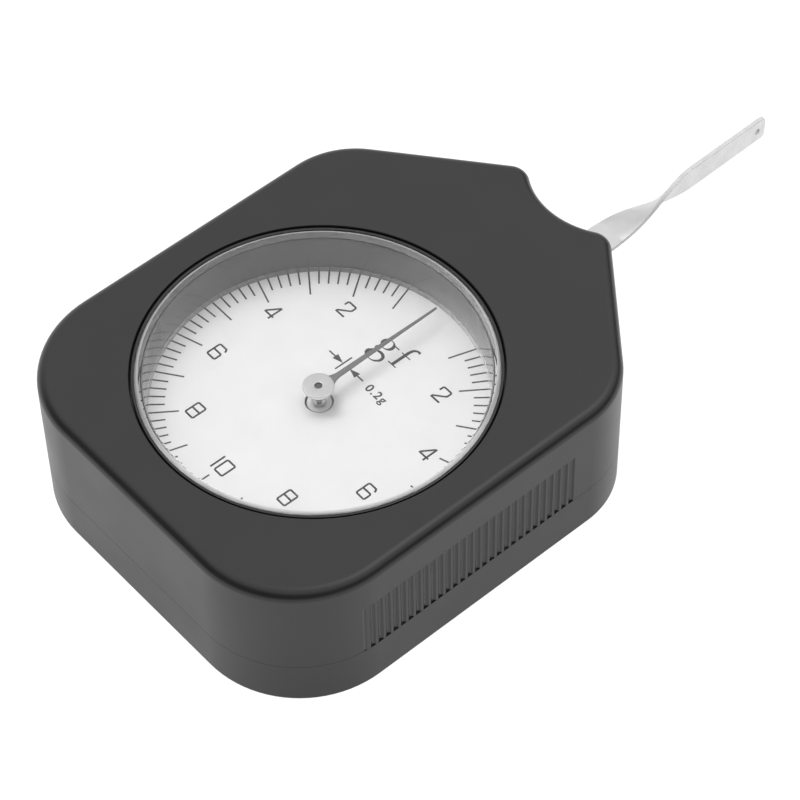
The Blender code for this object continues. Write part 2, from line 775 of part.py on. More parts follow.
def build_pointer_arbor():
    """The pointer's arbor, with the pinion cut in one piece with it."""
    shoulder = rear_bush_top + clamp_gap
    neck = front_bush_low - clamp_gap
    end = pointer_high + clamp_gap + pointer_cap_thickness / 2
    profile = [(0, end), (pointer_arbor_radius, end), (pointer_arbor_radius, neck)]
    profile += [(pointer_core_radius, neck), (pointer_core_radius, shoulder)]
    profile += [(pivot_radius, shoulder), (pivot_radius, bridge_low), (0, bridge_low)]
    arbor = piece("pointer_arbor", turned(profile, bearing_steps), steel, pointer_axis)
    addendum = pinion_addendum_share * gear_module
    pattern = tooth(pinion_pitch_radius, addendum, dedendum_share * gear_module, 3)
    outline = []
    for i in range(pinion_teeth):
        middle = math.pi / 2 + (i + 1 / 2) * math.tau / pinion_teeth
        outline += [(r * math.cos(middle + a), r * math.sin(middle + a)) for r, a in pattern]
    join(arbor, "pinion", slab(outline, pinion_low, pinion_high))


def build_pointer():
    """The needle: a ring on the arbor, a flared root and a long taper."""
    line = pointer_root_half_width + pointer_flare_radius
    reach = pointer_ring_radius + pointer_flare_radius
    flare_y = math.sqrt(reach**2 - line**2)
    touch = math.atan2(flare_y, line)
    half = arc((0, 0), pointer_ring_radius, -math.pi / 2, touch, 8)
    half += arc((line, flare_y), pointer_flare_radius, touch + math.pi, math.pi, 5)[1:]
    half.append((pointer_tip_half_width, pointer_length - pointer_tip_half_width))
    half.append((0, pointer_length))
    needle = piece("pointer", slab(mirrored(half), pointer_low, pointer_high), pointer_grey, pointer_axis)
    bore = pointer_arbor_radius + hole_gap
    cut(needle, "bore", rods([(0, 0)], bore, pointer_low - overrun, pointer_high + overrun, bearing_steps))
    collar_top = pointer_low - clamp_gap
    collar_low = collar_top - pointer_collar_length
    foot = collar_low + pointer_collar_foot
    collar = [(pointer_neck_radius, collar_top), (pointer_neck_radius, foot + pointer_collar_slope)]
    collar += [(pointer_collar_radius, foot), (pointer_collar_radius, collar_low)]
    collar += [(bore, collar_low), (bore, collar_top)]
    piece("pointer_collar", turned(collar, bearing_steps, closed=True), steel, pointer_axis)
    cap_low = pointer_high + clamp_gap
    cap_top = cap_low + pointer_cap_thickness
    cap = [(pointer_cap_radius - pointer_cap_edge, cap_top), (pointer_cap_radius, cap_top - pointer_cap_edge)]
    cap += [(pointer_cap_radius, cap_low), (bore, cap_low), (bore, cap_top)]
    piece("pointer_cap", turned(cap, 2 * bearing_steps, closed=True), aluminium, pointer_axis)


def spiral_strip(name, centre_y, inner, outer, turns, end_angle, level, height, strip, parent):
    """A flat spiral spring: a ribbon on edge that winds out from its collet to its stud."""
    count = turns * spring_steps
    curve = bpy.data.curves.new(name, "CURVE")
    curve.dimensions = "3D"
    curve.extrude = height / 2
    spline = curve.splines.new("POLY")
    spline.points.add(count)
    for i, point in enumerate(spline.points):
        angle = end_angle - math.tau * turns * (1 - i / count)
        radius = inner + (outer - inner) * i / count
        point.co = (radius * math.cos(angle), centre_y + radius * math.sin(angle), level, 1)
    guide = bpy.data.objects.new("strip", curve)
    cutters.objects.link(guide)
    bpy.context.view_layer.update()
    mesh = evaluated_mesh(guide)
    bpy.data.objects.remove(guide, do_unlink=True)
    ribbon = piece(name, mesh, spring_steel, parent)
    wall = ribbon.modifiers.new("thickness", "SOLIDIFY")
    wall.thickness = strip
    wall.offset = 0
    gap = (outer - inner) / turns - strip
    print(f"{name}: least gap between turns {gap:.6f} m")


def build_measuring_spring():
    """The spring that the lever works against, its collet on the lever's arbor and its stud on the bridge."""
    bore = arbor_radius + hole_gap
    outside = bore + collet_wall
    collet = [(outside, collet_high), (outside, collet_low), (bore, collet_low), (bore, collet_high)]
    piece("spring_collet", turned(collet, bearing_steps, closed=True, y=lever_axis_y), brass, lever_pivot)
    radii = (spring_inner_radius, spring_outer_radius)
    level = (collet_low + collet_high) / 2
    section = (level, spring_height, spring_strip)
    end = spring_stud_angle
    spiral_strip("measuring_spring", lever_axis_y, *radii, spring_turns, end, *section, lever_pivot)
    stud_top = level + spring_height / 2
    piece("spring_stud", rods([spring_stud], spring_stud_radius, bridge_low, stud_top, screw_steps), brass)


def build_hairspring():
    """The hairspring that takes up the gears' play, with its collet and its stud on the main plate."""
    bore = pointer_core_radius + hole_gap
    outside = hairspring_collet_radius
    collet = [(outside, hairspring_collet_high), (outside, hairspring_collet_low)]
    collet += [(bore, hairspring_collet_low), (bore, hairspring_collet_high)]
    piece("hairspring_collet", turned(collet, bearing_steps, closed=True), brass, pointer_axis)
    radii = (hairspring_inner_radius, hairspring_outer_radius)
    level = (hairspring_collet_low + hairspring_collet_high) / 2
    section = (level, hairspring_height, hairspring_strip)
    end = hairspring_stud_angle
    spiral_strip("hairspring", 0, *radii, hairspring_turns, end, *section, pointer_axis)
    stud_low = level - hairspring_height / 2
    stud = rods([hairspring_stud], hairspring_stud_radius, stud_low, plate_top, screw_steps)
    piece("hairspring_stud", stud, brass)


def build_measuring_lever():
    """The blade: an eye on the arbor, a flat strip out of the case, and a quarter twist before the tip."""
    root = lever_root_width / 2
    leave = math.asin(root / eye_radius)
    half = arc((0, lever_axis_y), eye_radius, -math.pi / 2, math.pi / 2 - leave, 7)
    half += [(root, lever_taper_start), (lever_waist_width / 2, lever_waist)]
    corner = (lever_tip_width / 2 - lever_tip_radius, lever_tip - lever_tip_radius)
    half += arc(corner, lever_tip_radius, 0, math.pi / 2, 3)
    mesh = slab(mirrored(half), lever_low, lever_high)
    twist_start = lever_waist - lever_twist_length / 2
    bm = bmesh.new()
    bm.from_mesh(mesh)
    for i in range(twist_steps + 1):
        station = (0, twist_start + lever_twist_length * i / twist_steps, 0)
        everything = bm.verts[:] + bm.edges[:] + bm.faces[:]
        bmesh.ops.bisect_plane(bm, geom=everything, dist=weld_distance, plane_co=station, plane_no=(0, 1, 0))
    for vertex in bm.verts:
        share = min(max((vertex.co.y - twist_start) / lever_twist_length, 0), 1)
        angle = math.pi / 2 * (share * share * (3 - 2 * share) + share) / 2
        rise = lever_tip_rise * max(vertex.co.y - lever_waist, 0) / lever_end_length
        x = vertex.co.x + rise
        z = vertex.co.z - lever_level
        vertex.co.x = x * math.cos(angle) - z * math.sin(angle)
        vertex.co.z = lever_level + x * math.sin(angle) + z * math.cos(angle)
    bmesh.ops.triangulate(bm, faces=[face for face in bm.faces if len(face.verts) < 5])
    bm.to_mesh(mesh)
    bm.free()
    blade = piece("measuring_lever", mesh, aluminium, lever_pivot)
    low = lever_low - overrun
    high = lever_high + overrun
    cut(blade, "eye", rods([(0, lever_axis_y)], hub_radius + hole_gap, low, high, bearing_steps))
    cut(blade, "rivet_holes", rods(rivets, rivet_radius + hole_gap, low, high, screw_steps))
    hole = rods([(0, 0)], tip_hole_radius, -overrun, overrun, screw_steps)
    hole.transform(Matrix.Rotation(math.pi / 2, 4, "Y"))
    hole_rise = lever_tip_rise * (lever_end_length - tip_hole_margin) / lever_end_length
    hole.transform(Matrix.Translation((0, lever_tip - tip_hole_margin, lever_level + hole_rise)))
    cut(blade, "tip_hole", hole)


def build_sector_gear():
    """The toothed sector on the lever's arbor: an eye, two arms and a rim of teeth."""
    pitch = math.tau / sector_circle_teeth
    addendum = sector_addendum_share * gear_module
    pattern = tooth(sector_pitch_radius, addendum, dedendum_share * gear_module, 2)
    outline = []
    for i in range(sector_teeth):
        middle = -math.pi / 2 + (i - (sector_teeth - 1) / 2) * pitch
        outline += [
            (r * math.cos(middle + a), lever_axis_y + r * math.sin(middle + a)) for r, a in pattern
        ]
    outline += arc((0, lever_axis_y), eye_radius, -math.pi / 6, math.pi * 7 / 6, 14)
    sector = piece("sector_gear", slab(outline, sector_low, sector_high), brass, lever_pivot)
    low = sector_low - overrun
    high = sector_high + overrun
    rim_half = sector_teeth * pitch / 2
    rim_radius = sector_pitch_radius - dedendum_share * gear_module - sector_rim_width
    rim_edge = rim_radius * math.sin(rim_half) - sector_arm_width
    rim_angle = math.asin(rim_edge / rim_radius)
    window = arc((0, lever_axis_y), rim_radius, -math.pi / 2 - rim_angle, -math.pi / 2 + rim_angle, 6)
    window_top = lever_axis_y - sector_window_top
    window += [(sector_window_half_width, window_top), (-sector_window_half_width, window_top)]
    cut(sector, "window", slab(window, low, high))
    cut(sector, "eye", rods([(0, lever_axis_y)], hub_radius + hole_gap, low, high, bearing_steps))
    cut(sector, "rivet_holes", rods(rivets, rivet_radius + hole_gap, low, high, screw_steps))


def build_lever_hub():
    """The lever's arbor, the flanged hub on it, and the rivets that clamp hub, blade and sector."""
    bore = arbor_radius + hole_gap
    hub_top = sector_high + hub_stand
    profile = [(hub_radius, hub_top), (hub_radius, hub_flange_top), (eye_radius, hub_flange_top)]
    profile += [(eye_radius, hub_flange_low), (bore, hub_flange_low), (bore, hub_top)]
    hub = piece("lever_hub", turned(profile, bearing_steps, closed=True, y=lever_axis_y), brass, lever_pivot)
    low = hub_flange_low - overrun
    cut(hub, "rivet_holes", rods(rivets, rivet_radius + hole_gap, low, hub_flange_top + overrun, screw_steps))
    shoulder = rear_bush_top + clamp_gap
    neck = front_bush_low - clamp_gap
    profile = [(0, plate_top), (pivot_radius, plate_top), (pivot_radius, neck)]
    profile += [(arbor_radius, neck), (arbor_radius, shoulder)]
    profile += [(pivot_radius, shoulder), (pivot_radius, bridge_low), (0, bridge_low)]
    piece("lever_arbor", turned(profile, bearing_steps, y=lever_axis_y), steel, lever_pivot)
    for i, (x, y) in enumerate(rivets):
        head_top = rivet_high + rivet_head_height
        head_low = rivet_low - rivet_head_height
        profile = [(0, head_top), (rivet_head_radius, head_top), (rivet_head_radius, rivet_high)]
        profile += [(rivet_radius, rivet_high), (rivet_radius, rivet_low), (rivet_head_radius, rivet_low)]
        profile += [(rivet_head_radius, head_low), (0, head_low)]
        piece(f"lever_rivet_{i + 1}", turned(profile, screw_steps, x=x, y=y), steel, lever_pivot)


rivets = [(side * rivet_circle_radius, lever_axis_y) for side in sides]
spring_stud = stud_place(
    lever_axis_y, spring_outer_radius, spring_strip, spring_stud_radius, spring_stud_angle
)
hairspring_stud = stud_place(
    0, hairspring_outer_radius, hairspring_strip, hairspring_stud_radius, hairspring_stud_angle
)

build_front_housing()
build_back_cover()
build_screws()
build_zero_ring()
build_crystal()
build_dial_plate()
build_wave_washer()
build_main_plate()
build_bridge_plate()
build_movement_fixings()
build_bearings()
build_pointer_arbor()
build_pointer()
build_measuring_spring()
build_hairspring()
build_measuring_lever()
build_sector_gear()
build_lever_hub()
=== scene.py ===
"""Dial tension gauge, dressed: the fine surface of every piece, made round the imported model.

Sizes are in metres, in the model's own frame: the origin is the pointer's axis on the case's flat back,
+X to the dial's right, +Y to the lever, +Z out of the dial.
"""

import math

import bmesh
import bpy
from mathutils import Matrix, Vector


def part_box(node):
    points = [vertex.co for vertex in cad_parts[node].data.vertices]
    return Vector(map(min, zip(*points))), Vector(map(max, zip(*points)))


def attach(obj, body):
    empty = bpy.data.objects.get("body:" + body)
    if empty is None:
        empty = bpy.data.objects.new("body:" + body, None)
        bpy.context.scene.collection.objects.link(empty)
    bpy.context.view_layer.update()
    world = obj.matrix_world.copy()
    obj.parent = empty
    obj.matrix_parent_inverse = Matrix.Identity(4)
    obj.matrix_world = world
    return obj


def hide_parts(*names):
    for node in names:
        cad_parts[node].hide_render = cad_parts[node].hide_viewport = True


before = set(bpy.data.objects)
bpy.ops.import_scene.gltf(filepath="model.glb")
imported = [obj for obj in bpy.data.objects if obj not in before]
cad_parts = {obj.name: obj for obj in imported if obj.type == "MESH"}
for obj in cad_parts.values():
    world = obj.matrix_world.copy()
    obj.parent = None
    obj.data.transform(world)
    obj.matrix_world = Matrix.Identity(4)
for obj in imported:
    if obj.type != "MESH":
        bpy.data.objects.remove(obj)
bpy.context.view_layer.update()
mm = 0.001

# Back cover
# The rear half of the case, a shallow tray injection moulded in black ABS. A lip stands inside the
# housing's wall, and four screws hold it from behind. Its flat back is what the gauge lies on.
case_low, case_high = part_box("front_housing")
half_width = case_high[0]
dial_to_bottom = -case_low[1]
housing_low = case_low[2]
case_depth = case_high[2]
parting_gap = 0.02 * mm
cover_top = housing_low - parting_gap
lip_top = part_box("back_cover")[1][2]
cover_floor = 2 * mm
lever_axis_y = 26 * mm
dial_to_horn = 46.5 * mm
dial_to_shoulder = 28.25 * mm
dial_to_notch = 43.3 * mm
horn_half_span = 8.5 * mm
bottom_corner_radius = 16.2 * mm
shoulder_radius = 12.8 * mm
horn_radius = 3 * mm
least_radius = 0.5 * mm
case_wall = 2.2 * mm
lip_inset = 2.5 * mm
lip_wall = 0.9 * mm
back_rim_radius = 0.7 * mm
parting_edge = 0.03 * mm
back_hole_edge = 0.12 * mm
mouth_half_width = 6.64 * mm
case_post_radius = 2.7 * mm
case_post_inset = 5.8 * mm
head_room_radius = 2.4 * mm
head_room_depth = 1.8 * mm
screw_hole_radius = 1.2 * mm
post_room_radius = 3 * mm
overrun = 1 * mm
weld = 0.0005 * mm
gloss_drift = 9 * mm
arc_step = math.radians(4)
sides = (1, -1)

shoulder_slope = Vector((horn_half_span - half_width, dial_to_horn - dial_to_shoulder)).normalized()
shoulder_normal = Vector((shoulder_slope.y, -shoulder_slope.x))
shoulder_reach = shoulder_normal.dot(Vector((half_width, dial_to_shoulder)))
shoulder_angle = math.atan2(shoulder_normal.y, shoulder_normal.x)
bottom_centre = Vector((half_width - bottom_corner_radius, bottom_corner_radius - dial_to_bottom))
shoulder_x = half_width - shoulder_radius
shoulder_y = (shoulder_reach - shoulder_radius - shoulder_normal.x * shoulder_x) / shoulder_normal.y
shoulder_centre = Vector((shoulder_x, shoulder_y))
notch_depth = dial_to_horn - dial_to_notch
notch_radius = (horn_half_span**2 + notch_depth**2) / (2 * notch_depth)
notch_centre = Vector((0, dial_to_notch + notch_radius))


def across(arcs):
    """The same arcs on the other side of the middle line, in the order that carries the outline on."""
    return [(Vector((-c.x, c.y)), r, math.pi - last, math.pi - first) for c, r, first, last in reversed(arcs)]


def case_arcs(inset):
    """The arcs of the case's plan, drawn in by an inset, anticlockwise: centre, radius and two angles."""
    horn = max(horn_radius - inset, least_radius)
    inward = shoulder_reach - inset - horn - shoulder_normal.dot(notch_centre)
    along = math.sqrt((notch_radius + inset + horn) ** 2 - inward**2)
    horn_centre = notch_centre + shoulder_normal * inward - shoulder_slope * along
    to_notch = notch_centre - horn_centre
    touch = math.atan2(to_notch.y, to_notch.x)
    right = [
        (bottom_centre, bottom_corner_radius - inset, -math.pi / 2, 0),
        (shoulder_centre, shoulder_radius - inset, 0, shoulder_angle),
        (horn_centre, horn, shoulder_angle, touch),
    ]
    notch = (notch_centre, notch_radius + inset, touch - math.pi, -touch)
    return right + [notch] + across(right)


def outline_plate(arcs, low, high):
    """A plate between two heights: a vertex is spun about each arc's centre, and straight runs join them."""
    bm = bmesh.new()
    ends = []
    for centre, radius, first, last in arcs:
        start = bm.verts.new((centre.x + radius * math.cos(first), centre.y + radius * math.sin(first), low))
        turn = bmesh.ops.spin(
            bm, geom=[start], cent=(*centre, low), axis=(0, 0, 1), angle=last - first,
            steps=max(2, round(abs(last - first) / arc_step)), use_merge=False, use_duplicate=False
        )
        ends.append((start, next(v for v in turn["geom_last"] if isinstance(v, bmesh.types.BMVert))))
    for (_, stop), (start, _) in zip(ends, ends[1:] + ends[:1]):
        bm.edges.new((stop, start))
    bmesh.ops.remove_doubles(bm, verts=bm.verts, dist=weld)
    base = bmesh.ops.contextual_create(bm, geom=bm.edges[:])["faces"]
    grown = bmesh.ops.extrude_face_region(bm, geom=base)["geom"]
    raised = [v for v in grown if isinstance(v, bmesh.types.BMVert)]
    bmesh.ops.translate(bm, vec=(0, 0, high - low), verts=raised)
    bmesh.ops.recalc_face_normals(bm, faces=bm.faces)
    return bm


def rods(places, radius, low, high, steps=48):
    """Upright round rods."""
    bm = bmesh.new()
    for x, y in places:
        middle = Matrix.Translation((x, y, (low + high) / 2))
        bmesh.ops.create_cone(
            bm, cap_ends=True, segments=steps, radius1=radius, radius2=radius, depth=high - low, matrix=middle
        )
    return bm


def boxes(corners):
    """Boxes from pairs of lowest and highest corners."""
    bm = bmesh.new()
    for low, high in corners:
        low, high = Vector(low), Vector(high)
        bmesh.ops.create_cube(
            bm, size=1, matrix=Matrix.Translation((low + high) / 2) @ Matrix.Diagonal((*(high - low), 1))
        )
    return bm


def combined(bm, other, operation):
    """Cuts one bmesh out of another, or joins it on, through two guide objects that are then removed."""
    guides = []
    for shape in (bm, other):
        mesh = bpy.data.meshes.new("guide")
        shape.to_mesh(mesh)
        shape.free()
        guide = bpy.data.objects.new("guide", mesh)
        bpy.context.scene.collection.objects.link(guide)
        guides.append(guide)
    modifier = guides[0].modifiers.new("combine", "BOOLEAN")
    modifier.operation = operation
    modifier.object = guides[1]
    bpy.context.view_layer.update()
    result = bmesh.new()
    result.from_object(guides[0], bpy.context.evaluated_depsgraph_get())
    for guide in guides:
        bpy.data.objects.remove(guide, do_unlink=True)
    bmesh.ops.remove_doubles(result, verts=result.verts, dist=weld)
    return result


def soften(bm, radius, segments, chosen=lambda middle: True, least=math.radians(30)):
    """Rounds the sharp edges that a test picks by their middle."""
    sharp = [
        e for e in bm.edges
        if e.is_manifold and e.calc_face_angle() > least and chosen((e.verts[0].co + e.verts[1].co) / 2)
    ]
    bmesh.ops.bevel(
        bm, geom=sharp, offset=radius, segments=segments, profile=0.5, affect="EDGES", material=-1,
        clamp_overlap=True
    )


def finished(name, bm, material, smooth=math.radians(40)):
    """The piece as an object at the origin: smooth but for its sharp edges, with its flats kept flat."""
    mesh = bpy.data.meshes.new(name)
    bm.to_mesh(mesh)
    bm.free()
    mesh.materials.append(material)
    mesh.shade_smooth()
    mesh.set_sharp_from_angle(angle=smooth)
    obj = bpy.data.objects.new(name, mesh)
    bpy.context.scene.collection.objects.link(obj)
    flats = obj.modifiers.new("flats", "WEIGHTED_NORMAL")
    flats.keep_sharp = True
    return obj


def linear(text):
    """A colour from its sRGB hex, as linear values."""
    parts = [int(text[i:i + 2], 16) / 255 for i in (1, 3, 5)]
    return (*[c / 12.92 if c <= 0.04045 else ((c + 0.055) / 1.055) ** 2.4 for c in parts], 1)


def add(material, kind, inputs, **settings):
    """Adds one node: its settings by name, and each input as a constant or as a socket to link."""
    node = material.node_tree.nodes.new("ShaderNode" + kind)
    for name, value in settings.items():
        setattr(node, name, value)
    for name, value in inputs.items():
        if isinstance(value, bpy.types.NodeSocket):
            material.node_tree.links.new(value, node.inputs[name])
        else:
            node.inputs[name].default_value = value
    return node


def finish_of(name, inputs):
    """A new material with constants on its Principled shader."""
    material = bpy.data.materials.new(name)
    material.use_nodes = True
    shader = material.node_tree.nodes["Principled BSDF"]
    for socket, value in inputs.items():
        shader.inputs[socket].default_value = value
    return material, shader


def black_abs(name, grain, relief, smoothest, roughest):
    """Moulded black ABS: a fine even grain from the tool, and a gloss that wanders a little."""
    material, shader = finish_of(name, {"IOR": 1.53})
    links = material.node_tree.links
    place = add(material, "TexCoord", {}).outputs["Object"]
    speckle = add(
        material, "TexNoise", {"Vector": place, "Scale": 1 / grain, "Detail": 3.0, "Roughness": 0.6}
    )
    drift = add(material, "TexNoise", {"Vector": place, "Scale": 1 / gloss_drift, "Detail": 2.0})
    tone = add(
        material, "MixRGB",
        {"Fac": drift.outputs["Fac"], "Color1": linear("#262626"), "Color2": linear("#2b2b2c")}
    )
    gloss = add(
        material, "MapRange",
        {"Value": drift.outputs["Fac"], "From Min": 0.3, "From Max": 0.7,
         "To Min": smoothest, "To Max": roughest}
    )
    bump = add(material, "Bump", {"Height": speckle.outputs["Fac"], "Distance": relief, "Strength": 1.0})
    links.new(tone.outputs["Color"], shader.inputs["Base Color"])
    links.new(gloss.outputs["Result"], shader.inputs["Roughness"])
    links.new(bump.outputs["Normal"], shader.inputs["Normal"])
    return material


# ABS with a spark-eroded grain: satin, so white surroundings lift its black to a soft dark grey.
# The real grain is about 0.05 mm, drawn three times as coarse so that it shows.
spark_eroded_abs = black_abs("spark_eroded_abs", 0.15 * mm, 0.004 * mm, 0.28, 0.34)

bottom_diagonal = Vector((1, -1)).normalized()
shoulder_middle = Vector((math.cos(shoulder_angle / 2), math.sin(shoulder_angle / 2)))
post_low = bottom_centre + bottom_diagonal * (bottom_corner_radius - case_post_inset)
post_high = shoulder_centre + shoulder_middle * (shoulder_radius - case_post_inset)
case_posts = [(side * post.x, post.y) for post in (post_low, post_high) for side in sides]

cover = outline_plate(case_arcs(0), 0, cover_top)
soften(cover, back_rim_radius, 6, lambda middle: middle.z < weld)
soften(cover, parting_edge, 2, lambda middle: middle.z > cover_top - weld)
cover = combined(cover, outline_plate(case_arcs(lip_inset), cover_floor, lip_top), "UNION")
tray = outline_plate(case_arcs(lip_inset + lip_wall), cover_floor, lip_top + overrun)
cover = combined(cover, tray, "DIFFERENCE")
mouth_low = (-mouth_half_width, dial_to_notch - case_wall - lip_wall - overrun, cover_top)
mouth_high = (mouth_half_width, dial_to_horn + overrun, lip_top + overrun)
cover = combined(cover, boxes([(mouth_low, mouth_high)]), "DIFFERENCE")
cover = combined(cover, rods(case_posts, post_room_radius, cover_top, lip_top + overrun), "DIFFERENCE")
cover = combined(cover, rods(case_posts, case_post_radius, cover_floor / 2, cover_top), "UNION")
cover = combined(cover, rods(case_posts, screw_hole_radius, -overrun, cover_top + overrun), "DIFFERENCE")
cover = combined(cover, rods(case_posts, head_room_radius, -overrun, head_room_depth), "DIFFERENCE")
soften(cover, back_hole_edge, 3, lambda middle: middle.z < weld)
back_cover = finished("back_cover_shell", cover, spark_eroded_abs)
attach(back_cover, "case")
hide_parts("back_cover")

# Bridge plate, pillars, bushes and main plate
# The movement's frame: two stamped plates held apart by three turned pillars, with four bushes pressed in
# for the arbors. All are brass, and the plates and bushes are nickel plated.
tool_marks = 0.08 * mm
tool_mark_depth = 0.001 * mm
wear_patch = 1.5 * mm


def dress(material, names):
    """Gives CAD nodes their finish."""
    for name in names:
        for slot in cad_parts[name].material_slots:
            slot.material = material


def turned_metal(name, colour, worn, roughness):
    """Bare metal from a lathe or press: a fine grain breaks up its shine, and wear dulls it in patches."""
    material, shader = finish_of(name, {"Metallic": 1.0})
    links = material.node_tree.links
    place = add(material, "TexCoord", {}).outputs["Object"]
    grain = add(material, "TexNoise", {"Vector": place, "Scale": 1 / tool_marks, "Detail": 2.0})
    patches = add(material, "TexNoise", {"Vector": place, "Scale": 1 / wear_patch, "Detail": 3.0})
    tone = add(
        material, "MixRGB",
        {"Fac": patches.outputs["Fac"], "Color1": linear(colour), "Color2": linear(worn)}
    )
    gloss = add(
        material, "MapRange",
        {"Value": patches.outputs["Fac"], "From Min": 0.3, "From Max": 0.7,
         "To Min": roughness, "To Max": roughness + 0.1}
    )
    bump = add(
        material, "Bump", {"Height": grain.outputs["Fac"], "Distance": tool_mark_depth, "Strength": 0.6}
    )
    links.new(tone.outputs["Color"], shader.inputs["Base Color"])
    links.new(gloss.outputs["Result"], shader.inputs["Roughness"])
    links.new(bump.outputs["Normal"], shader.inputs["Normal"])
    return material


# Brass: warm yellow, a little duller where it was handled
turned_brass = turned_metal("turned_brass", "#e0c07a", "#c9a763", 0.25)
# Nickel plate over brass: a pale neutral grey
nickel_plate = turned_metal("nickel_plate", "#c4c3c0", "#adaca9", 0.25)
dress(nickel_plate, ["main_plate", "bridge_plate", "pointer_bush_rear"])
dress(nickel_plate, ["lever_bush_rear", "lever_bush_front"])
dress(turned_brass, ["pillar_1", "pillar_2", "pillar_3"])

# Arbors, hub, rivets, gear and springs
# The lever's arbor carries a flanged brass hub, and two steel rivets clamp the blade and the toothed sector
# to it. The sector drives the pinion on the pointer's arbor, and flat spiral springs turn both back.

# Free-cutting steel, turned and lightly polished: bright grey
turned_steel = turned_metal("turned_steel", "#c8c8ca", "#b2b2b5", 0.2)
# Tempered spring strip: rolled smooth, with the blue-grey of its tempering
tempered_strip = turned_metal("tempered_strip", "#8f96a6", "#7b8292", 0.25)
# Blued steel: the pointer's arbor is hardened and left dark
blued_steel = turned_metal("blued_steel", "#5c5c60", "#4c4c50", 0.3)
dress(blued_steel, ["pointer_arbor"])
dress(turned_steel, ["lever_arbor", "lever_rivet_1", "lever_rivet_2", "stop_pin_1", "stop_pin_2"])
dress(turned_brass, ["lever_hub", "sector_gear", "spring_collet", "spring_stud"])
dress(turned_brass, ["hairspring_collet", "hairspring_stud"])
dress(tempered_strip, ["measuring_spring", "hairspring", "wave_washer"])
dress(turned_steel, [f"plate_screw_{i}" for i in (1, 2, 3, 4)] + [f"bridge_screw_{i}" for i in (1, 2, 3)])

# Measuring lever
# The blade that is pushed: stainless strip, sheared to width, flat where it leaves the case and twisted a
# quarter turn before its tip, which has a small hole. Its eye is riveted to the hub inside.
hub_flange = 0.9 * mm
lever_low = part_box("lever_hub")[0][2] + hub_flange
lever_thickness = 0.7 * mm
lever_high = lever_low + lever_thickness
lever_level = lever_low + lever_thickness / 2
lever_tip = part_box("measuring_lever")[1][1]
lever_root_width = 5.05 * mm
lever_waist_width = 4.1 * mm
lever_tip_width = 4 * mm
lever_tip_rise = 0.68 * mm
lever_taper_start = lever_axis_y + 28 * mm
lever_waist = lever_taper_start + 9.6 * mm
lever_twist_length = 16.6 * mm
lever_tip_radius = 0.8 * mm
sheared_edge = 0.07 * mm
tip_hole_radius = 0.5 * mm
tip_hole_margin = 1.6 * mm
eye_radius = 3.8 * mm
hub_hole_radius = 1.8 * mm
rivet_circle_radius = 2.75 * mm
rivet_hole_radius = 0.65 * mm
twist_stations = 56
slice_width = 0.6 * mm
rolling_line_width = 0.12 * mm
rolling_line_length = 6 * mm
smudge_size = 2.2 * mm


def sheared_strip():
    """The flat blank's plan: the eye, the straight root, the long taper and two small tip corners."""
    root = lever_root_width / 2
    leave = math.pi / 2 - math.asin(root / eye_radius)
    axis = Vector((0, lever_axis_y))
    tip = Vector((lever_tip_width / 2 - lever_tip_radius, lever_tip - lever_tip_radius))
    point, bend = least_radius / 100, 0.02
    right = [
        (Vector((root - point, lever_taper_start)), point, 0, bend),
        (Vector((lever_waist_width / 2 - point, lever_waist)), point, 0, bend),
        (tip, lever_tip_radius, 0, math.pi / 2),
    ]
    eye = (axis, eye_radius, math.pi - leave, math.tau + leave)
    return [eye] + right + across(right)


blade = outline_plate(sheared_strip(), lever_low, lever_high)
rivets = [(side * rivet_circle_radius, lever_axis_y) for side in sides]
tip_hole = (0, lever_tip - tip_hole_margin)
holes = (([(0, lever_axis_y)], hub_hole_radius), (rivets, rivet_hole_radius), ([tip_hole], tip_hole_radius))
for places, radius in holes:
    punch = rods(places, radius, lever_low - overrun, lever_high + overrun, 24)
    blade = combined(blade, punch, "DIFFERENCE")
soften(blade, sheared_edge, 3)
twist_start = lever_waist - lever_twist_length / 2
station_pitch = lever_twist_length / twist_stations
slices = [((0, twist_start + i * station_pitch, 0), (0, 1, 0)) for i in range(twist_stations + 1)]
slices += [((i * slice_width, 0, 0), (1, 0, 0)) for i in (-2, -1, 0, 1, 2)]
for place, facing in slices:
    everything = blade.verts[:] + blade.edges[:] + blade.faces[:]
    bmesh.ops.bisect_plane(blade, geom=everything, dist=weld, plane_co=place, plane_no=facing)
for face in blade.faces:
    face.material_index = int(abs(face.normal.z) < 0.5)
for vertex in blade.verts:
    share = min(max((vertex.co.y - twist_start) / lever_twist_length, 0), 1)
    angle = math.pi / 2 * share * share * (3 - 2 * share)
    rise = lever_tip_rise * max(vertex.co.y - lever_waist, 0) / (lever_tip - lever_waist)
    x, z = vertex.co.x + rise, vertex.co.z - lever_level
    vertex.co.x = x * math.cos(angle) - z * math.sin(angle)
    vertex.co.z = lever_level + x * math.sin(angle) + z * math.cos(angle)

# Stainless strip: bright, with rolling lines along the blade and the odd smudge from handling
rolled_stainless, steel_shader = finish_of("rolled_stainless", {"Metallic": 1.0})
place = add(rolled_stainless, "TexCoord", {}).outputs["Object"]
across_lines, along_lines = 1 / rolling_line_width, 1 / rolling_line_length
along = add(
    rolled_stainless, "Mapping", {"Vector": place, "Scale": (across_lines, along_lines, across_lines)}
)
lines = add(rolled_stainless, "TexNoise", {"Vector": along.outputs["Vector"], "Scale": 1.0, "Detail": 2.0})
smudge = add(rolled_stainless, "TexNoise", {"Vector": place, "Scale": 1 / smudge_size, "Detail": 3.0})
tone = add(
    rolled_stainless, "MixRGB",
    {"Fac": smudge.outputs["Fac"], "Color1": linear("#eaeaea"), "Color2": linear("#dcdcdc")}
)
gloss = add(
    rolled_stainless, "MapRange",
    {"Value": smudge.outputs["Fac"], "From Min": 0.3, "From Max": 0.7, "To Min": 0.32, "To Max": 0.42}
)
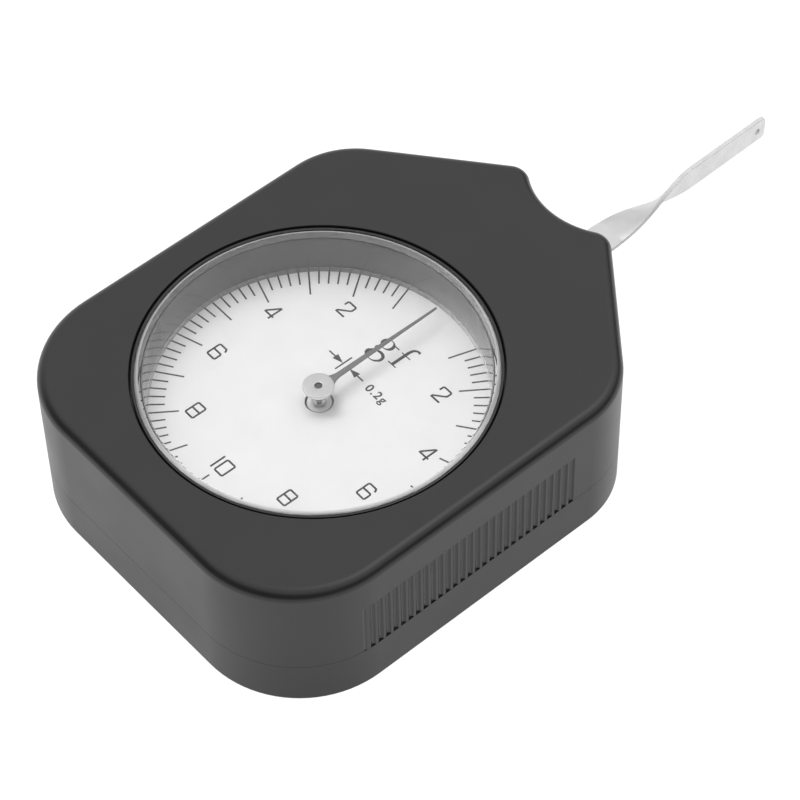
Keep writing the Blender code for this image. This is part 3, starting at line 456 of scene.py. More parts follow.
bump = add(
    rolled_stainless, "Bump", {"Height": lines.outputs["Fac"], "Distance": 0.002 * mm, "Strength": 0.5}
)
links = rolled_stainless.node_tree.links
links.new(tone.outputs["Color"], steel_shader.inputs["Base Color"])
links.new(gloss.outputs["Result"], steel_shader.inputs["Roughness"])
links.new(bump.outputs["Normal"], steel_shader.inputs["Normal"])
lever = finished("measuring_blade", blade, rolled_stainless)
# Sheared edges of the same strip: torn matt, with a painted reflection: coloured pale in place of the white
# surroundings they mirror, so that they stay pale in every direction
sheared_edge_painted_reflection = turned_metal("sheared_edge_painted_reflection", "#f4f4f4", "#e6e6e6", 0.6)
sheared_edge_painted_reflection.node_tree.nodes["Principled BSDF"].inputs["Metallic"].default_value = 0.5
lever.data.materials.append(sheared_edge_painted_reflection)
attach(lever, "lever")
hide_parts("measuring_lever")

# Front housing
# The front half of the case, moulded in the same black ABS: the round window, grip grooves down both
# sides, and two horns with a notch between them, where the blade leaves through a slot.
window_radius = 25.55 * mm
front_rim_radius = 1.6 * mm
front_thickness = 2 * mm
front_underside = case_depth - front_thickness
window_edge = 0.18 * mm
groove_count = 29
groove_pitch = 1.32 * mm
groove_width = 0.92 * mm
groove_depth = 0.25 * mm
groove_top = 17.4 * mm
groove_edge = 0.09 * mm
slot_room = 1.6 * mm
slot_top = lever_level + slot_room
guide_bore = 26.7 * mm
guide_wall = 1.2 * mm
guide_height = 2.5 * mm
guide_low = front_underside - guide_height
plate_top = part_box("main_plate")[1][2]
plate_post_gap = 0.2 * mm
plate_post_radius = 2.2 * mm
plate_post_inset = 5.2 * mm
plate_post_half_span = 12.5 * mm
case_pilot_radius = 1.1 * mm
case_pilot_top = 14.6 * mm
plate_pilot_radius = 0.9 * mm
plate_pilot_depth = 4.5 * mm
plate_pilot_top = plate_top + plate_pilot_depth
root_depth = 1 * mm
root = case_depth - root_depth


def turned(profile, steps=144, closed=True, x=0, y=0):
    """A turned shape: the profile (radius, height) is spun a full turn about an upright axis."""
    bm = bmesh.new()
    verts = [bm.verts.new((x + radius, y, height)) for radius, height in profile]
    edges = [bm.edges.new(pair) for pair in zip(verts, verts[1:])]
    if closed:
        edges.append(bm.edges.new((verts[-1], verts[0])))
    bmesh.ops.spin(
        bm, geom=verts + edges, cent=(x, y, 0), axis=(0, 0, 1), angle=math.tau, steps=steps, use_merge=True,
        use_duplicate=False
    )
    bmesh.ops.remove_doubles(bm, verts=bm.verts, dist=weld)
    bmesh.ops.recalc_face_normals(bm, faces=bm.faces)
    return bm


plate_post_reach = shoulder_reach - plate_post_inset - shoulder_normal.x * plate_post_half_span
plate_posts = [(side * bottom_centre.x, plate_post_inset - dial_to_bottom) for side in sides]
plate_posts += [(side * plate_post_half_span, plate_post_reach / shoulder_normal.y) for side in sides]

housing = outline_plate(case_arcs(0), housing_low, case_depth)
soften(housing, front_rim_radius, 10, lambda middle: middle.z > case_depth - weld)
soften(housing, parting_edge, 2, lambda middle: middle.z < housing_low + weld)
hollow = outline_plate(case_arcs(case_wall), housing_low - overrun, front_underside)
housing = combined(housing, hollow, "DIFFERENCE")
housing = combined(housing, rods(case_posts, case_post_radius, housing_low, root), "UNION")
plate_rods = rods(plate_posts, plate_post_radius, plate_top + plate_post_gap, root)
housing = combined(housing, plate_rods, "UNION")
guide = [(guide_bore + guide_wall, root), (guide_bore + guide_wall, guide_low), (guide_bore, guide_low)]
housing = combined(housing, turned(guide + [(guide_bore, root)]), "UNION")
window = rods([(0, 0)], window_radius, front_underside - overrun, case_depth + overrun, 180)
housing = combined(housing, window, "DIFFERENCE")
groove_radius = ((groove_width / 2) ** 2 + groove_depth**2) / (2 * groove_depth)
grooves = []
for side in sides:
    x = side * (half_width + groove_radius - groove_depth)
    grooves += [(x, (i - (groove_count - 1) / 2) * groove_pitch) for i in range(groove_count)]
cutters = rods(grooves, groove_radius, housing_low - overrun, groove_top, 32)
housing = combined(housing, cutters, "DIFFERENCE")
slot_low = (-mouth_half_width, dial_to_notch - case_wall - overrun, housing_low - overrun)
slot_high = (mouth_half_width, dial_to_horn + overrun, slot_top)
housing = combined(housing, boxes([(slot_low, slot_high)]), "DIFFERENCE")
pilots = rods(case_posts, case_pilot_radius, housing_low - overrun, case_pilot_top)
housing = combined(housing, pilots, "DIFFERENCE")
pilots = rods(plate_posts, plate_pilot_radius, plate_top, plate_pilot_top)
housing = combined(housing, pilots, "DIFFERENCE")
soften(housing, window_edge, 4, lambda p: p.z > case_depth - weld and p.xy.length < window_radius + weld)
groove_reach = (groove_count * groove_pitch) / 2


def beside_groove(middle):
    """Picks the upright edges of the grooves, and not their ends."""
    upright = housing_low + weld < middle.z < groove_top - weld
    return upright and abs(middle.x) > half_width - weld and abs(middle.y) < groove_reach


soften(housing, groove_edge, 2, beside_groove)
front_housing = finished("front_housing_shell", housing, spark_eroded_abs)
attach(front_housing, "case")
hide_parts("front_housing")

# Zero ring
# The ring in the window that carries the crystal and the dial. It is moulded in black ABS in a smoother
# tool than the case, and it is turned by hand to bring the scale's zero under the pointer.
ring_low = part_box("zero_ring")[0][2]
ring_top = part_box("zero_ring")[1][2]
ring_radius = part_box("zero_ring")[1][0]
ring_play = 0.2 * mm
window_gap = 0.3 * mm
ring_lip = 0.38 * mm
ring_edge = 0.03 * mm
shelf_width = 2.4 * mm
shelf_thickness = 0.8 * mm
ring_step = front_underside - ring_play
ring_lip_radius = window_radius - window_gap
ring_bore = ring_lip_radius - ring_lip
shelf_bore = ring_bore - shelf_width
shelf_top = ring_low + shelf_thickness
profile = [(ring_lip_radius, ring_top), (ring_lip_radius, ring_step), (ring_radius, ring_step)]
profile += [(ring_radius, ring_low), (shelf_bore, ring_low), (shelf_bore, shelf_top)]
ring = turned(profile + [(ring_bore, shelf_top), (ring_bore, ring_top)], 180)
soften(ring, ring_edge, 2)
# ABS from a polished tool: glossier than the case
smooth_abs = black_abs("smooth_abs", 0.2 * mm, 0.001 * mm, 0.22, 0.3)
zero_ring = finished("turning_ring", ring, smooth_abs)
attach(zero_ring, "dial")
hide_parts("zero_ring")

# Dial plate and its print
# A thin aluminium disc, blasted, silvered and lacquered, with a scale printed in dark grey: a line for each
# fifth of a gram both ways from zero, even numbers, the unit, and the width of one division.
dial_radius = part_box("dial_plate")[1][0]
dial_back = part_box("dial_plate")[0][2]
dial_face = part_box("dial_plate")[1][2]
dial_hole_radius = 2 * mm
disc_edge = 0.04 * mm
lacquer_cloud = 4 * mm
blasting = 0.12 * mm
blasting_depth = 0.002 * mm
ink_patch = 0.4 * mm
dial_turn = math.radians(-0.6)
ink = 0.02 * mm
lines_per_gram = 5
line_spacing = math.radians(3.6)
first_line = 5
last_line = 50
line_outer_radius = 24.4 * mm
gram_line_inner_radius = 19.2 * mm
line_inner_radius = 21.15 * mm
line_width = 0.24 * mm

# Silvered lacquer: a pale even matt with the finest cloudiness
silvered, silver_shader = finish_of("silvered_lacquer", {"Roughness": 0.5, "IOR": 1.45})
place = add(silvered, "TexCoord", {}).outputs["Object"]
cloud = add(silvered, "TexNoise", {"Vector": place, "Scale": 1 / lacquer_cloud, "Detail": 3.0})
blast = add(silvered, "TexNoise", {"Vector": place, "Scale": 1 / blasting, "Detail": 2.0})
tone = add(
    silvered, "MixRGB",
    {"Fac": cloud.outputs["Fac"], "Color1": linear("#e7e7e7"), "Color2": linear("#e1e1e1")}
)
bump = add(
    silvered, "Bump", {"Height": blast.outputs["Fac"], "Distance": blasting_depth, "Strength": 1.0}
)
silvered.node_tree.links.new(tone.outputs["Color"], silver_shader.inputs["Base Color"])
silvered.node_tree.links.new(bump.outputs["Normal"], silver_shader.inputs["Normal"])
disc = turned(
    [(dial_radius, dial_face), (dial_radius, dial_back), (dial_hole_radius, dial_back),
     (dial_hole_radius, dial_face)],
    144
)
soften(disc, disc_edge, 2)
dial_plate = finished("silvered_disc", disc, silvered)
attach(dial_plate, "dial")
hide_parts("dial_plate")

# Screen ink: a dense dark grey, slightly uneven where it thins out
screen_ink, ink_shader = finish_of("screen_ink", {"Roughness": 0.55})
place = add(screen_ink, "TexCoord", {}).outputs["Object"]
patches = add(screen_ink, "TexNoise", {"Vector": place, "Scale": 1 / ink_patch, "Detail": 2.0})
tone = add(
    screen_ink, "MixRGB",
    {"Fac": patches.outputs["Fac"], "Color1": linear("#1e1e1e"), "Color2": linear("#282828")}
)
screen_ink.node_tree.links.new(tone.outputs["Color"], ink_shader.inputs["Base Color"])


def printed(name, bm):
    """A layer of ink on the dial, turned with the dial's print."""
    bmesh.ops.rotate(bm, verts=bm.verts, cent=(0, 0, 0), matrix=Matrix.Rotation(dial_turn, 3, "Z"))
    piece = finished(name, bm, screen_ink)
    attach(piece, "dial")
    return piece


scale = bmesh.new()
for n in range(first_line, last_line + 1):
    inner = gram_line_inner_radius if n % lines_per_gram == 0 else line_inner_radius
    for side in sides if n < last_line else (1,):
        bmesh.ops.create_cube(
            scale, size=1,
            matrix=Matrix.Rotation(-side * n * line_spacing, 4, "Z")
            @ Matrix.Translation((0, (inner + line_outer_radius) / 2, dial_face + ink / 2))
            @ Matrix.Diagonal((line_width, line_outer_radius - inner, ink, 1))
        )
printed("scale_lines", scale)


def strokes(bm, centre, paths, height):
    """Stands ribbons along pen strokes on the dial. Each path is its points and whether it closes."""
    for points, closed in paths:
        verts = [bm.verts.new((centre[0] + x * mm, centre[1] + y * mm, dial_face)) for x, y in points]
        edges = [bm.edges.new(pair) for pair in zip(verts, verts[1:])]
        if closed:
            edges.append(bm.edges.new((verts[-1], verts[0])))
        grown = bmesh.ops.extrude_edge_only(bm, edges=edges)["geom"]
        raised = [v for v in grown if isinstance(v, bmesh.types.BMVert)]
        bmesh.ops.translate(bm, vec=(0, 0, height), verts=raised)


# Numbers on the dial, drawn with an even pen in strokes, in mm from each figure's middle: w is half a
# figure's width, h half its height and cut what its corners lose. Open strokes run on past the width by
# foot and past the height by tail, and bars stop inside the uprights.
pen = 0.28 * mm
w = 0.8
h = 1.18
cut = 0.16
foot = 0.05
tail = 0.1
bar_y = 0.05
inside = w - 0.125
box = [(-w + cut, h), (w - cut, h), (w, h - cut), (w, -h + cut), (w - cut, -h), (-w + cut, -h),
       (-w, -h + cut), (-w, h - cut)]
two = [(-w, 0.4), (-w, h - cut), (-w + cut, h), (w - cut, h), (w, h - cut), (w, 0.36), (w - cut, 0.16),
       (-w + foot, -h + 0.22), (-w + foot, -h), (w + foot, -h)]
four = [(0.45, -h - tail), (0.45, h), (0.32, h), (-w - foot, -0.5), (-w - foot, -0.66), (0.325, -0.66)]
six = [(w, h - 0.5), (w, h - 0.32), (w - 0.24, h), (-w + cut, h), (-w, h - cut), (-w, -h + cut),
       (-w + cut, -h), (w - cut, -h), (w, -h + cut), (w, bar_y - cut), (w - cut, bar_y), (-inside, bar_y)]
figures = {
    "0": [(box, True)],
    "1": [([(0, h + tail), (0, -h - tail)], False)],
    "2": [(two, False)],
    "4": [(four, False), ([(0.575, -0.66), (w + foot, -0.66)], False)],
    "6": [(six, False)],
    "8": [(box, True), ([(-inside, bar_y), (inside, bar_y)], False)],
}
number_places = {"2": (10.155, 13.34), "4": (16.55, 5.31), "6": (16.05, -5.05), "8": (9.89, -13.74)}
numbers = bmesh.new()
for figure, (x, y) in number_places.items():
    for side in sides:
        strokes(numbers, (side * x * mm, y * mm), figures[figure], ink)
ten_y = -16.93 * mm
for figure, x in (("1", -1.03), ("0", 0.5)):
    strokes(numbers, (x * mm, ten_y), figures[figure], ink)
scale_numbers = printed("scale_numbers", numbers)
thickness = scale_numbers.modifiers.new("pen", "SOLIDIFY")
thickness.thickness = pen
thickness.offset = 0
thickness.use_even_offset = True

# Unit and division mark on the dial
# Printed with the scale in the same ink: flat shapes with curved outlines, in mm from the dial's centre.


def inked(bm, outlines):
    """Fills one shape a coat of ink thick: its outline, then its holes, each point smooth or a corner."""
    curve = bpy.data.curves.new("outline", "CURVE")
    curve.dimensions = "2D"
    curve.fill_mode = "BOTH"
    curve.extrude = ink / 2
    curve.resolution_u = 8
    for outline in outlines:
        spline = curve.splines.new("BEZIER")
        spline.bezier_points.add(len(outline) - 1)
        for point, (x, y, handle) in zip(spline.bezier_points, outline):
            point.co = (x * mm, y * mm, 0)
            point.handle_left_type = point.handle_right_type = handle
        spline.use_cyclic_u = True
    guide = bpy.data.objects.new("outline", curve)
    bpy.context.scene.collection.objects.link(guide)
    bpy.context.view_layer.update()
    mesh = bpy.data.meshes.new_from_object(guide.evaluated_get(bpy.context.evaluated_depsgraph_get()))
    bpy.data.objects.remove(guide, do_unlink=True)
    mesh.transform(Matrix.Translation((0, 0, dial_face + ink / 2)))
    bm.from_mesh(mesh)
    bmesh.ops.remove_doubles(bm, verts=bm.verts, dist=weld)


def corners(*points):
    return [(x, y, "VECTOR") for x, y in points]


def smooth(*points):
    return [(x, y, "AUTO") for x, y in points]


def oval(x, y, half_x, half_y):
    return smooth((x + half_x, y), (x, y + half_y), (x - half_x, y), (x, y - half_y))


unit = bmesh.new()
inked(unit, [oval(-1.41, 13.57, 1.17, 0.93), oval(-1.44, 13.57, 0.7, 0.79)])
inked(unit, [corners((-0.5, 14.02), (0.36, 14.02), (0.36, 14.22), (-0.62, 14.22))])
inked(unit, [corners((-1.9, 12.85)) + smooth((-2.42, 12.1)) + corners((-1.95, 11.7), (-1.6, 11.9))])
loop = smooth(
    (-0.3, 11.98), (0.22, 11.25), (-0.2, 10.35), (-1.3, 9.95), (-2.4, 10.15), (-2.79, 10.85), (-2.35, 11.5)
)
counter = smooth((-0.55, 11.6), (-0.22, 11.15), (-0.5, 10.5), (-1.35, 10.1), (-2.05, 10.3), (-2.2, 10.9))
inked(unit, [loop + corners((-2.0, 11.95)), counter + corners((-1.7, 11.63))])
stem = corners(
    (0.82, 11.6), (2.42, 11.6), (2.42, 11.77), (1.87, 11.8), (1.87, 14), (2.68, 14), (2.68, 14.18),
    (1.87, 14.18), (1.87, 14.85)
)
hook = smooth((2.1, 15.55), (2.5, 15.72)) + corners((2.82, 15.58), (2.82, 16.02))
hook += smooth((2.6, 16.07), (2.1, 15.95), (1.6, 15.5))
bar = corners(
    (1.39, 14.75), (1.39, 14.18), (0.97, 14.18), (0.97, 14), (1.39, 14), (1.39, 11.8), (0.82, 11.77)
)
inked(unit, [stem + hook + bar])
printed("scale_unit", unit)

mark = bmesh.new()
mark_lines = (-2.93, -1.73)
mark_low, mark_high = 5.27, 8.32
mark_half = 0.115
arrow_y = 6.77
head_half = 0.53
for x in mark_lines:
    left, right = x - mark_half, x + mark_half
    inked(mark, [corners((left, mark_low), (right, mark_low), (right, mark_high), (left, mark_high))])
for tip, head, tail in ((-3.02, -4.67, -5.97), (-1.64, 0.03, 1.28)):
    inked(mark, [corners((tip, arrow_y), (head, arrow_y + head_half), (head, arrow_y - head_half))])
    low, high = arrow_y - mark_half, arrow_y + mark_half
    inked(mark, [corners((head, low), (tail, low), (tail, high), (head, high))])
bmesh.ops.recalc_face_normals(mark, faces=mark.faces)
printed("division_mark", mark)

words = bpy.data.curves.new("division", "FONT")
words.body = "0.2g"
words.extrude = ink / 2
words.offset = 0.02
words.space_character = 1.2
guide = bpy.data.objects.new("division", words)
bpy.context.scene.collection.objects.link(guide)
bpy.context.view_layer.update()
mesh = bpy.data.meshes.new_from_object(guide.evaluated_get(bpy.context.evaluated_depsgraph_get()))
bpy.data.objects.remove(guide, do_unlink=True)
word_left, word_right = 2.35, 6.08
digit_low, digit_top = 6.06, 7.38
xs = [v.co.x for v in mesh.vertices]
top = max(v.co.y for v in mesh.vertices)
stretch_x = (word_right - word_left) / (max(xs) - min(xs)) * mm
stretch_y = (digit_top - digit_low) / top * mm
stretch = Matrix.Diagonal((stretch_x, stretch_y, 1, 1))
mesh.transform(stretch @ Matrix.Translation((-min(xs), 0, 0)))
mesh.transform(Matrix.Translation((word_left * mm, digit_low * mm, dial_face + ink / 2)))
division = bmesh.new()
division.from_mesh(mesh)
printed("division_value", division)

# Crystal
# The window over the dial, a shallow cup of clear acrylic moulded in one: a flat front and a skirt down to
# the dial. It is pressed into the zero ring, and its rim is lightly chamfered.
crystal_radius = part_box("crystal")[1][0]
crystal_gap = 0.03 * mm
skirt_low = dial_face + crystal_gap
skirt_draft = 0.75 * mm
skirt_foot_edge = 0.1 * mm
ceiling_fillet = 0.4 * mm
crystal_wall = 1.5 * mm
crystal_edge_width = 0.55 * mm
crystal_edge_drop = 0.25 * mm
skirt_foot = crystal_radius - crystal_wall
skirt_bore = skirt_foot + skirt_draft
ceiling = case_depth - crystal_wall
cup = turned(
    [(0, case_depth), (crystal_radius - crystal_edge_width, case_depth),
     (crystal_radius, case_depth - crystal_edge_drop), (crystal_radius, skirt_low), (skirt_foot, skirt_low),
     (skirt_bore, ceiling), (0, ceiling)],
    180, closed=False
)
for face in cup.faces:
    reach = face.calc_center_median().xy.length
    if abs(face.normal.z) < 0.5:
        face.material_index = 1 if reach > skirt_bore else 2
    elif reach > crystal_radius - crystal_edge_width and face.normal.z > 0:
        face.material_index = 3
soften(cup, ceiling_fillet, 5, lambda p: ceiling - weld < p.z < case_depth - crystal_edge_drop)
soften(cup, skirt_foot_edge, 3, lambda p: p.z < skirt_low + weld)
acrylics = []
for name, clearness, roughness, colour in (
    # Clear acrylic: perfectly smooth, bending light as PMMA does
    ("clear_acrylic", 1.0, 0.0, "#ffffff"),
    # The skirt's outside, turned to fit the ring and left frosted: it glows a soft grey against the black
    ("frosted_acrylic", 1.0, 0.5, "#d0d0d0"),
    # The skirt's inside, as it left the mould: a little rough, so that it mirrors the dial with soft edges
    ("satin_acrylic", 1.0, 0.06, "#ffffff"),
    # The chamfer: painted light, a pale and partly opaque satin standing in for the light that the clear
    # skirt carries up to its rim
    ("chamfer_painted_glow", 0.45, 0.3, "#d8d8d8"),
):
    material, shader = finish_of(
        name,
        {"Transmission Weight": clearness, "IOR": 1.49, "Roughness": roughness, "Base Color": linear(colour)}
    )
    # Lamps light the dial straight through it
    path = add(material, "LightPath", {})
    clear = add(material, "BsdfTransparent", {"Color": (0.92, 0.92, 0.92, 1)})
    mixed = add(
        material, "MixShader",
        {0: path.outputs["Is Shadow Ray"], 1: shader.outputs["BSDF"], 2: clear.outputs["BSDF"]}
    )
    material.node_tree.links.new(
        mixed.outputs["Shader"], material.node_tree.nodes["Material Output"].inputs["Surface"]
    )
    acrylics.append(material)
crystal = finished("clear_crystal", cup, acrylics[0])
for material in acrylics[1:]:
    crystal.data.materials.append(material)
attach(crystal, "dial")
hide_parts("crystal")

# Pointer, its collar and its cap, and the bush that its arbor turns in
# The needle is stamped from thin sheet and painted grey. A steel collar carries it on the arbor, and a
# turned aluminium cap closes the stack, with the arbor's end in its hole. The bush stands in the dial's hole.
pointer_low, pointer_high = (corner[2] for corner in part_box("pointer"))
pointer_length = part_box("pointer")[1][1]
pointer_root_half = 0.42 * mm
pointer_tip_half = 0.14 * mm
pointer_ring_radius = 2 * mm
pointer_flare_radius = 3.4 * mm
stamped_edge = 0.05 * mm
paint_peel = 0.25 * mm
arbor_hole = 0.55 * mm
line_x = pointer_root_half + pointer_flare_radius
flare_y = math.sqrt((pointer_ring_radius + pointer_flare_radius) ** 2 - line_x**2)
touch = math.atan2(flare_y, line_x)
flare_right = (Vector((line_x, flare_y)), pointer_flare_radius, touch + math.pi, math.pi)
flare_left = (Vector((-line_x, flare_y)), pointer_flare_radius, 0, -touch)
tip_centre = Vector((0, pointer_length - pointer_tip_half))
needle_arcs = [
    (Vector((0, 0)), pointer_ring_radius, -math.pi - touch, touch),
    flare_right,
    (tip_centre, pointer_tip_half, 0, math.pi),
    flare_left,
]
needle = outline_plate(needle_arcs, pointer_low, pointer_high)
punch = rods([(0, 0)], arbor_hole, pointer_low - overrun, pointer_high + overrun, 32)
needle = combined(needle, punch, "DIFFERENCE")
soften(needle, stamped_edge, 2)
# Satin paint: mid grey, thin enough to draw back a little from the stamped edges
satin_paint, paint_shader = finish_of("satin_paint", {"IOR": 1.5})
place = add(satin_paint, "TexCoord", {}).outputs["Object"]
peel = add(satin_paint, "TexNoise", {"Vector": place, "Scale": 1 / paint_peel, "Detail": 2.0})
tone = add(
    satin_paint, "MixRGB",
    {"Fac": peel.outputs["Fac"], "Color1": linear("#606060"), "Color2": linear("#666666")}
)
gloss = add(
    satin_paint, "MapRange",
    {"Value": peel.outputs["Fac"], "From Min": 0.3, "From Max": 0.7, "To Min": 0.35, "To Max": 0.45}
)
satin_paint.node_tree.links.new(tone.outputs["Color"], paint_shader.inputs["Base Color"])
satin_paint.node_tree.links.new(gloss.outputs["Result"], paint_shader.inputs["Roughness"])
pointer = finished("painted_needle", needle, satin_paint)
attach(pointer, "pointer")
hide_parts("pointer")

bush_low, bush_high = (corner[2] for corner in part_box("pointer_bush_front"))
bush_flange_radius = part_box("pointer_bush_front")[1][0]
bush_radius = 1.75 * mm
bush_flange_thickness = 0.4 * mm
bush_flange = bush_low + bush_flange_thickness
bush_edge = 0.08 * mm
journal = 0.5 * mm
bearing = turned(
    [(bush_radius, bush_high), (bush_radius, bush_flange), (bush_flange_radius, bush_flange),
     (bush_flange_radius, bush_low), (journal, bush_low), (journal, bush_high)],
    64
)
soften(bearing, bush_edge, 2)
# It is faced and lacquered like the dial, so its end hardly shows
bush = finished("turned_bush", bearing, silvered)
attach(bush, "case")
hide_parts("pointer_bush_front")

collar_low, collar_high = (corner[2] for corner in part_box("pointer_collar"))
collar_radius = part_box("pointer_collar")[1][0]
neck_radius = 0.72 * mm
foot_height = 0.4 * mm
shoulder_height = 0.9 * mm
collar_foot = collar_low + foot_height
collar_shoulder = collar_low + shoulder_height
collar_edge = 0.06 * mm
sleeve = turned(
    [(neck_radius, collar_high), (neck_radius, collar_shoulder), (collar_radius, collar_foot),
     (collar_radius, collar_low), (arbor_hole, collar_low), (arbor_hole, collar_high)],
    48
)
soften(sleeve, collar_edge, 3, least=math.radians(20))
# Polished steel: mirrors the pale dial and the dark side of the room in streaks
polished_steel = turned_metal("polished_steel", "#c4c4c6", "#b2b2b4", 0.08)
collar = finished("turned_collar", sleeve, polished_steel)
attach(collar, "pointer")
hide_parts("pointer_collar")

cap_low, cap_high = (corner[2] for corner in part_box("pointer_cap"))
cap_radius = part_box("pointer_cap")[1][0]
cap_edge = 0.06 * mm
cap_margin = 0.2 * mm
cap_corner = 0.03 * mm
button = turned(
    [(cap_radius - cap_edge - cap_margin, cap_high), (cap_radius - cap_edge, cap_high),
     (cap_radius, cap_high - cap_edge), (cap_radius, cap_low), (arbor_hole, cap_low), (arbor_hole, cap_high),
     (arbor_hole + cap_margin, cap_high)],
    96
)
for face in button.faces:
    face.material_index = int(abs(face.normal.z) < 0.8)
soften(button, cap_corner, 2)
# Aluminium faced and then blasted: a pale even satin, with a fine speckle
faced_aluminium, cap_shader = finish_of("faced_aluminium", {"Metallic": 1.0, "Roughness": 0.38})
place = add(faced_aluminium, "TexCoord", {}).outputs["Object"]
speckle = add(faced_aluminium, "TexNoise", {"Vector": place, "Scale": 1 / blasting, "Detail": 2.0})
tone = add(
    faced_aluminium, "MixRGB",
    {"Fac": speckle.outputs["Fac"], "Color1": linear("#b2b2b2"), "Color2": linear("#bebebe")}
)
bump = add(
    faced_aluminium, "Bump",
    {"Height": speckle.outputs["Fac"], "Distance": blasting_depth, "Strength": 0.6}
)
faced_aluminium.node_tree.links.new(tone.outputs["Color"], cap_shader.inputs["Base Color"])
faced_aluminium.node_tree.links.new(bump.outputs["Normal"], cap_shader.inputs["Normal"])
cap = finished("faced_cap", button, faced_aluminium)
# The cap's rim as the lathe left it: bright enough to mirror the white dial
cap.data.materials.append(turned_metal("turned_aluminium", "#f2f2f2", "#e6e6e6", 0.12))
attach(cap, "pointer")
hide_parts("pointer_cap")

# Case screws
# Four cheese-head screws with cross recesses, zinc plated, driven from the back into the housing's posts.
head_radius = 2.1 * mm
head_face = 0.3 * mm
head_seat = 1.6 * mm
shank_radius = 1 * mm
shank_length = 12 * mm
shank_end = head_seat + shank_length
recess_reach = 1.37 * mm
recess_half = 0.29 * mm
recess_depth = 0.65 * mm
screw_edge = 0.08 * mm
# Bright zinc plate on steel: a cool pale grey
zinc_plate = turned_metal("zinc_plate", "#b9bcc0", "#9da1a6", 0.28)
for i, (x, y) in enumerate(case_posts):
    screw = turned(
        [(0, shank_end), (shank_radius, shank_end), (shank_radius, head_seat), (head_radius, head_seat),
         (head_radius, head_face), (0, head_face)],
        48, closed=False, x=x, y=y
    )
    for reach_x, reach_y in ((recess_reach, recess_half), (recess_half, recess_reach)):
        recess_low = (x - reach_x, y - reach_y, head_face - overrun)
        recess_high = (x + reach_x, y + reach_y, head_face + recess_depth)
        screw = combined(screw, boxes([(recess_low, recess_high)]), "DIFFERENCE")
    soften(screw, screw_edge, 2)
    piece = finished(f"case_screw_{i + 1}_plated", screw, zinc_plate)
    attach(piece, "case")
    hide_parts(f"case_screw_{i + 1}")

# Floor, surroundings and lamp
# A pale table with a white backdrop behind it, a large soft light overhead, and a dim room on the side that
# the photograph was taken from. One more lamp, high on the left, gives the shadows their direction.
floor_reach = 3
floor_gap = 0.05 * mm
floor_mesh = bpy.data.meshes.new("floor")
bm = bmesh.new()
bmesh.ops.create_grid(bm, x_segments=1, y_segments=1, size=floor_reach)
bm.to_mesh(floor_mesh)
bm.free()
floor = bpy.data.objects.new("floor", floor_mesh)
floor.location.z = -floor_gap
bpy.context.scene.collection.objects.link(floor)
# White paper: it lights the object as matt paper does. Seen or mirrored it glows plain white and keeps only
# a share of the object's shadow, a larger share where it is mirrored.
table = finish_of("white_table", {})[0]
path = add(table, "LightPath", {})
bent = add(
    table, "Math", {0: path.outputs["Is Glossy Ray"], 1: path.outputs["Is Transmission Ray"]},
    operation="MAXIMUM"
)
seen = add(table, "Math", {0: path.outputs["Is Camera Ray"], 1: bent.outputs[0]}, operation="MAXIMUM")
shaded = add(table, "Math", {0: bent.outputs[0], 1: 0.3, 2: 0.15}, operation="MULTIPLY_ADD")
glow = add(table, "Emission", {"Color": (1, 1, 1, 1), "Strength": 1.2})
paper = add(table, "BsdfDiffuse", {"Color": (0.8, 0.8, 0.8, 1)})
white = add(table, "MixShader", {0: shaded.outputs[0], 1: glow.outputs["Emission"], 2: paper.outputs["BSDF"]})
mixed = add(table, "MixShader", {0: seen.outputs[0], 1: paper.outputs["BSDF"], 2: white.outputs["Shader"]})
table.node_tree.links.new(mixed.outputs["Shader"], table.node_tree.nodes["Material Output"].inputs["Surface"])
floor_mesh.materials.append(table)

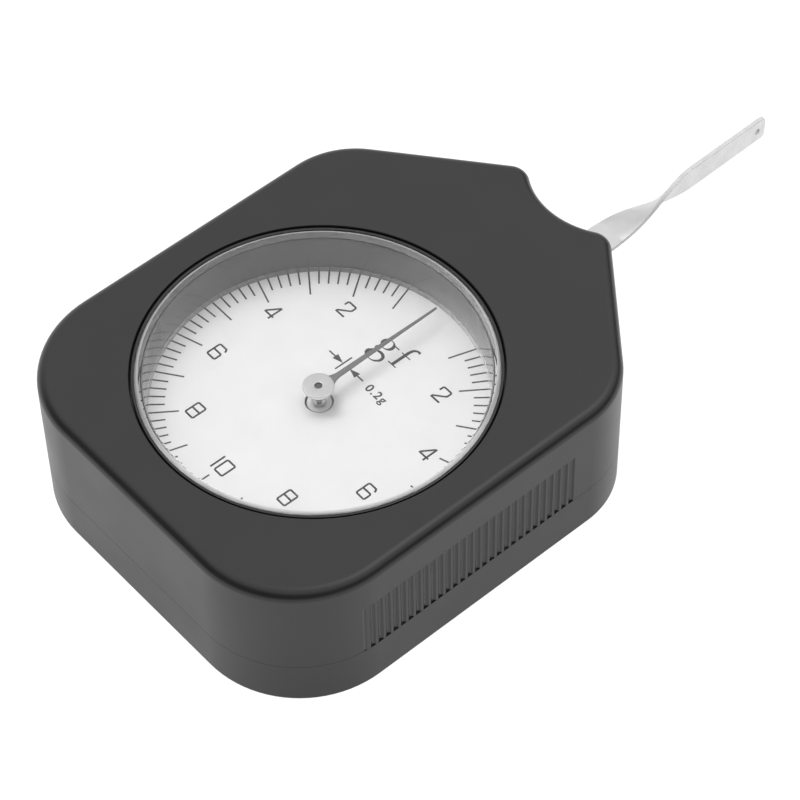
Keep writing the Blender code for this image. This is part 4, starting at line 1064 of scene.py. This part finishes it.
world = bpy.data.worlds.new("sky")
bpy.context.scene.world = world
world.use_nodes = True
sky = world.node_tree.nodes["Background"]
direction = add(world, "TexCoord", {}).outputs["Generated"]
zenith = Vector((0, 0.25, 0.968))
upward = add(world, "VectorMath", {0: direction, 1: zenith}, operation="DOT_PRODUCT")
height = add(
    world, "MapRange",
    {"Value": upward.outputs["Value"], "From Min": 0.45, "From Max": 0.75, "To Min": 0.04, "To Max": 0.82},
    interpolation_type="SMOOTHSTEP"
)
away = Vector((-0.94, 0.34, 0))
behind = add(world, "VectorMath", {0: direction, 1: away}, operation="DOT_PRODUCT")
sweep = add(
    world, "MapRange",
    {"Value": behind.outputs["Value"], "From Min": 0.5, "From Max": 0.9, "To Min": 0.0, "To Max": 0.8},
    interpolation_type="SMOOTHSTEP"
)
light_from = Vector((0.03, 0.38, 0.924))
overhead = add(world, "VectorMath", {0: direction, 1: light_from}, operation="DOT_PRODUCT")
softbox = add(
    world, "MapRange",
    {"Value": overhead.outputs["Value"], "From Min": 0.92, "From Max": 0.985, "To Min": 0.0, "To Max": 1.1},
    interpolation_type="SMOOTHSTEP"
)
strength = add(
    world, "Math", {0: height.outputs["Result"], 1: sweep.outputs["Result"]}, operation="MAXIMUM"
)
strength = add(world, "Math", {0: strength.outputs[0], 1: softbox.outputs["Result"]}, operation="ADD")
path = add(world, "LightPath", {})
backdrop = add(world, "Background", {"Color": (1, 1, 1, 1), "Strength": 1.0})
sky.inputs["Color"].default_value = (1, 1, 1, 1)
world.node_tree.links.new(strength.outputs[0], sky.inputs["Strength"])
mixed = add(
    world, "MixShader",
    {0: path.outputs["Is Camera Ray"], 1: sky.outputs["Background"], 2: backdrop.outputs["Background"]}
)
world.node_tree.links.new(mixed.outputs["Shader"], world.node_tree.nodes["World Output"].inputs["Surface"])

lamp = bpy.data.objects.new("softbox", bpy.data.lights.new("softbox", "AREA"))
lamp.data.size = 0.45
lamp.data.energy = 2.7
lamp.location = (-0.33, -0.03, 0.82)
lamp.rotation_euler = Vector(-lamp.location).to_track_quat("-Z", "Y").to_euler()
lamp.visible_glossy = False
bpy.context.scene.collection.objects.link(lamp)
bpy.context.scene.view_settings.view_transform = "Standard"

# Camera
# It stands where the photograph was taken from, looking down at the gauge's lower right corner.
camera_place = Vector((217.07, -169.21, 361.04)) * mm
camera_turn = [math.radians(a) for a in (38.578, 0.739, 48.832)]
camera = bpy.data.objects.new("camera", bpy.data.cameras.new("camera"))
camera.location = camera_place
camera.rotation_euler = camera_turn
camera.data.lens = 144.81
camera.data.sensor_width = 36
camera.data.clip_start = 10 * mm
bpy.context.scene.collection.objects.link(camera)
bpy.context.scene.camera = camera
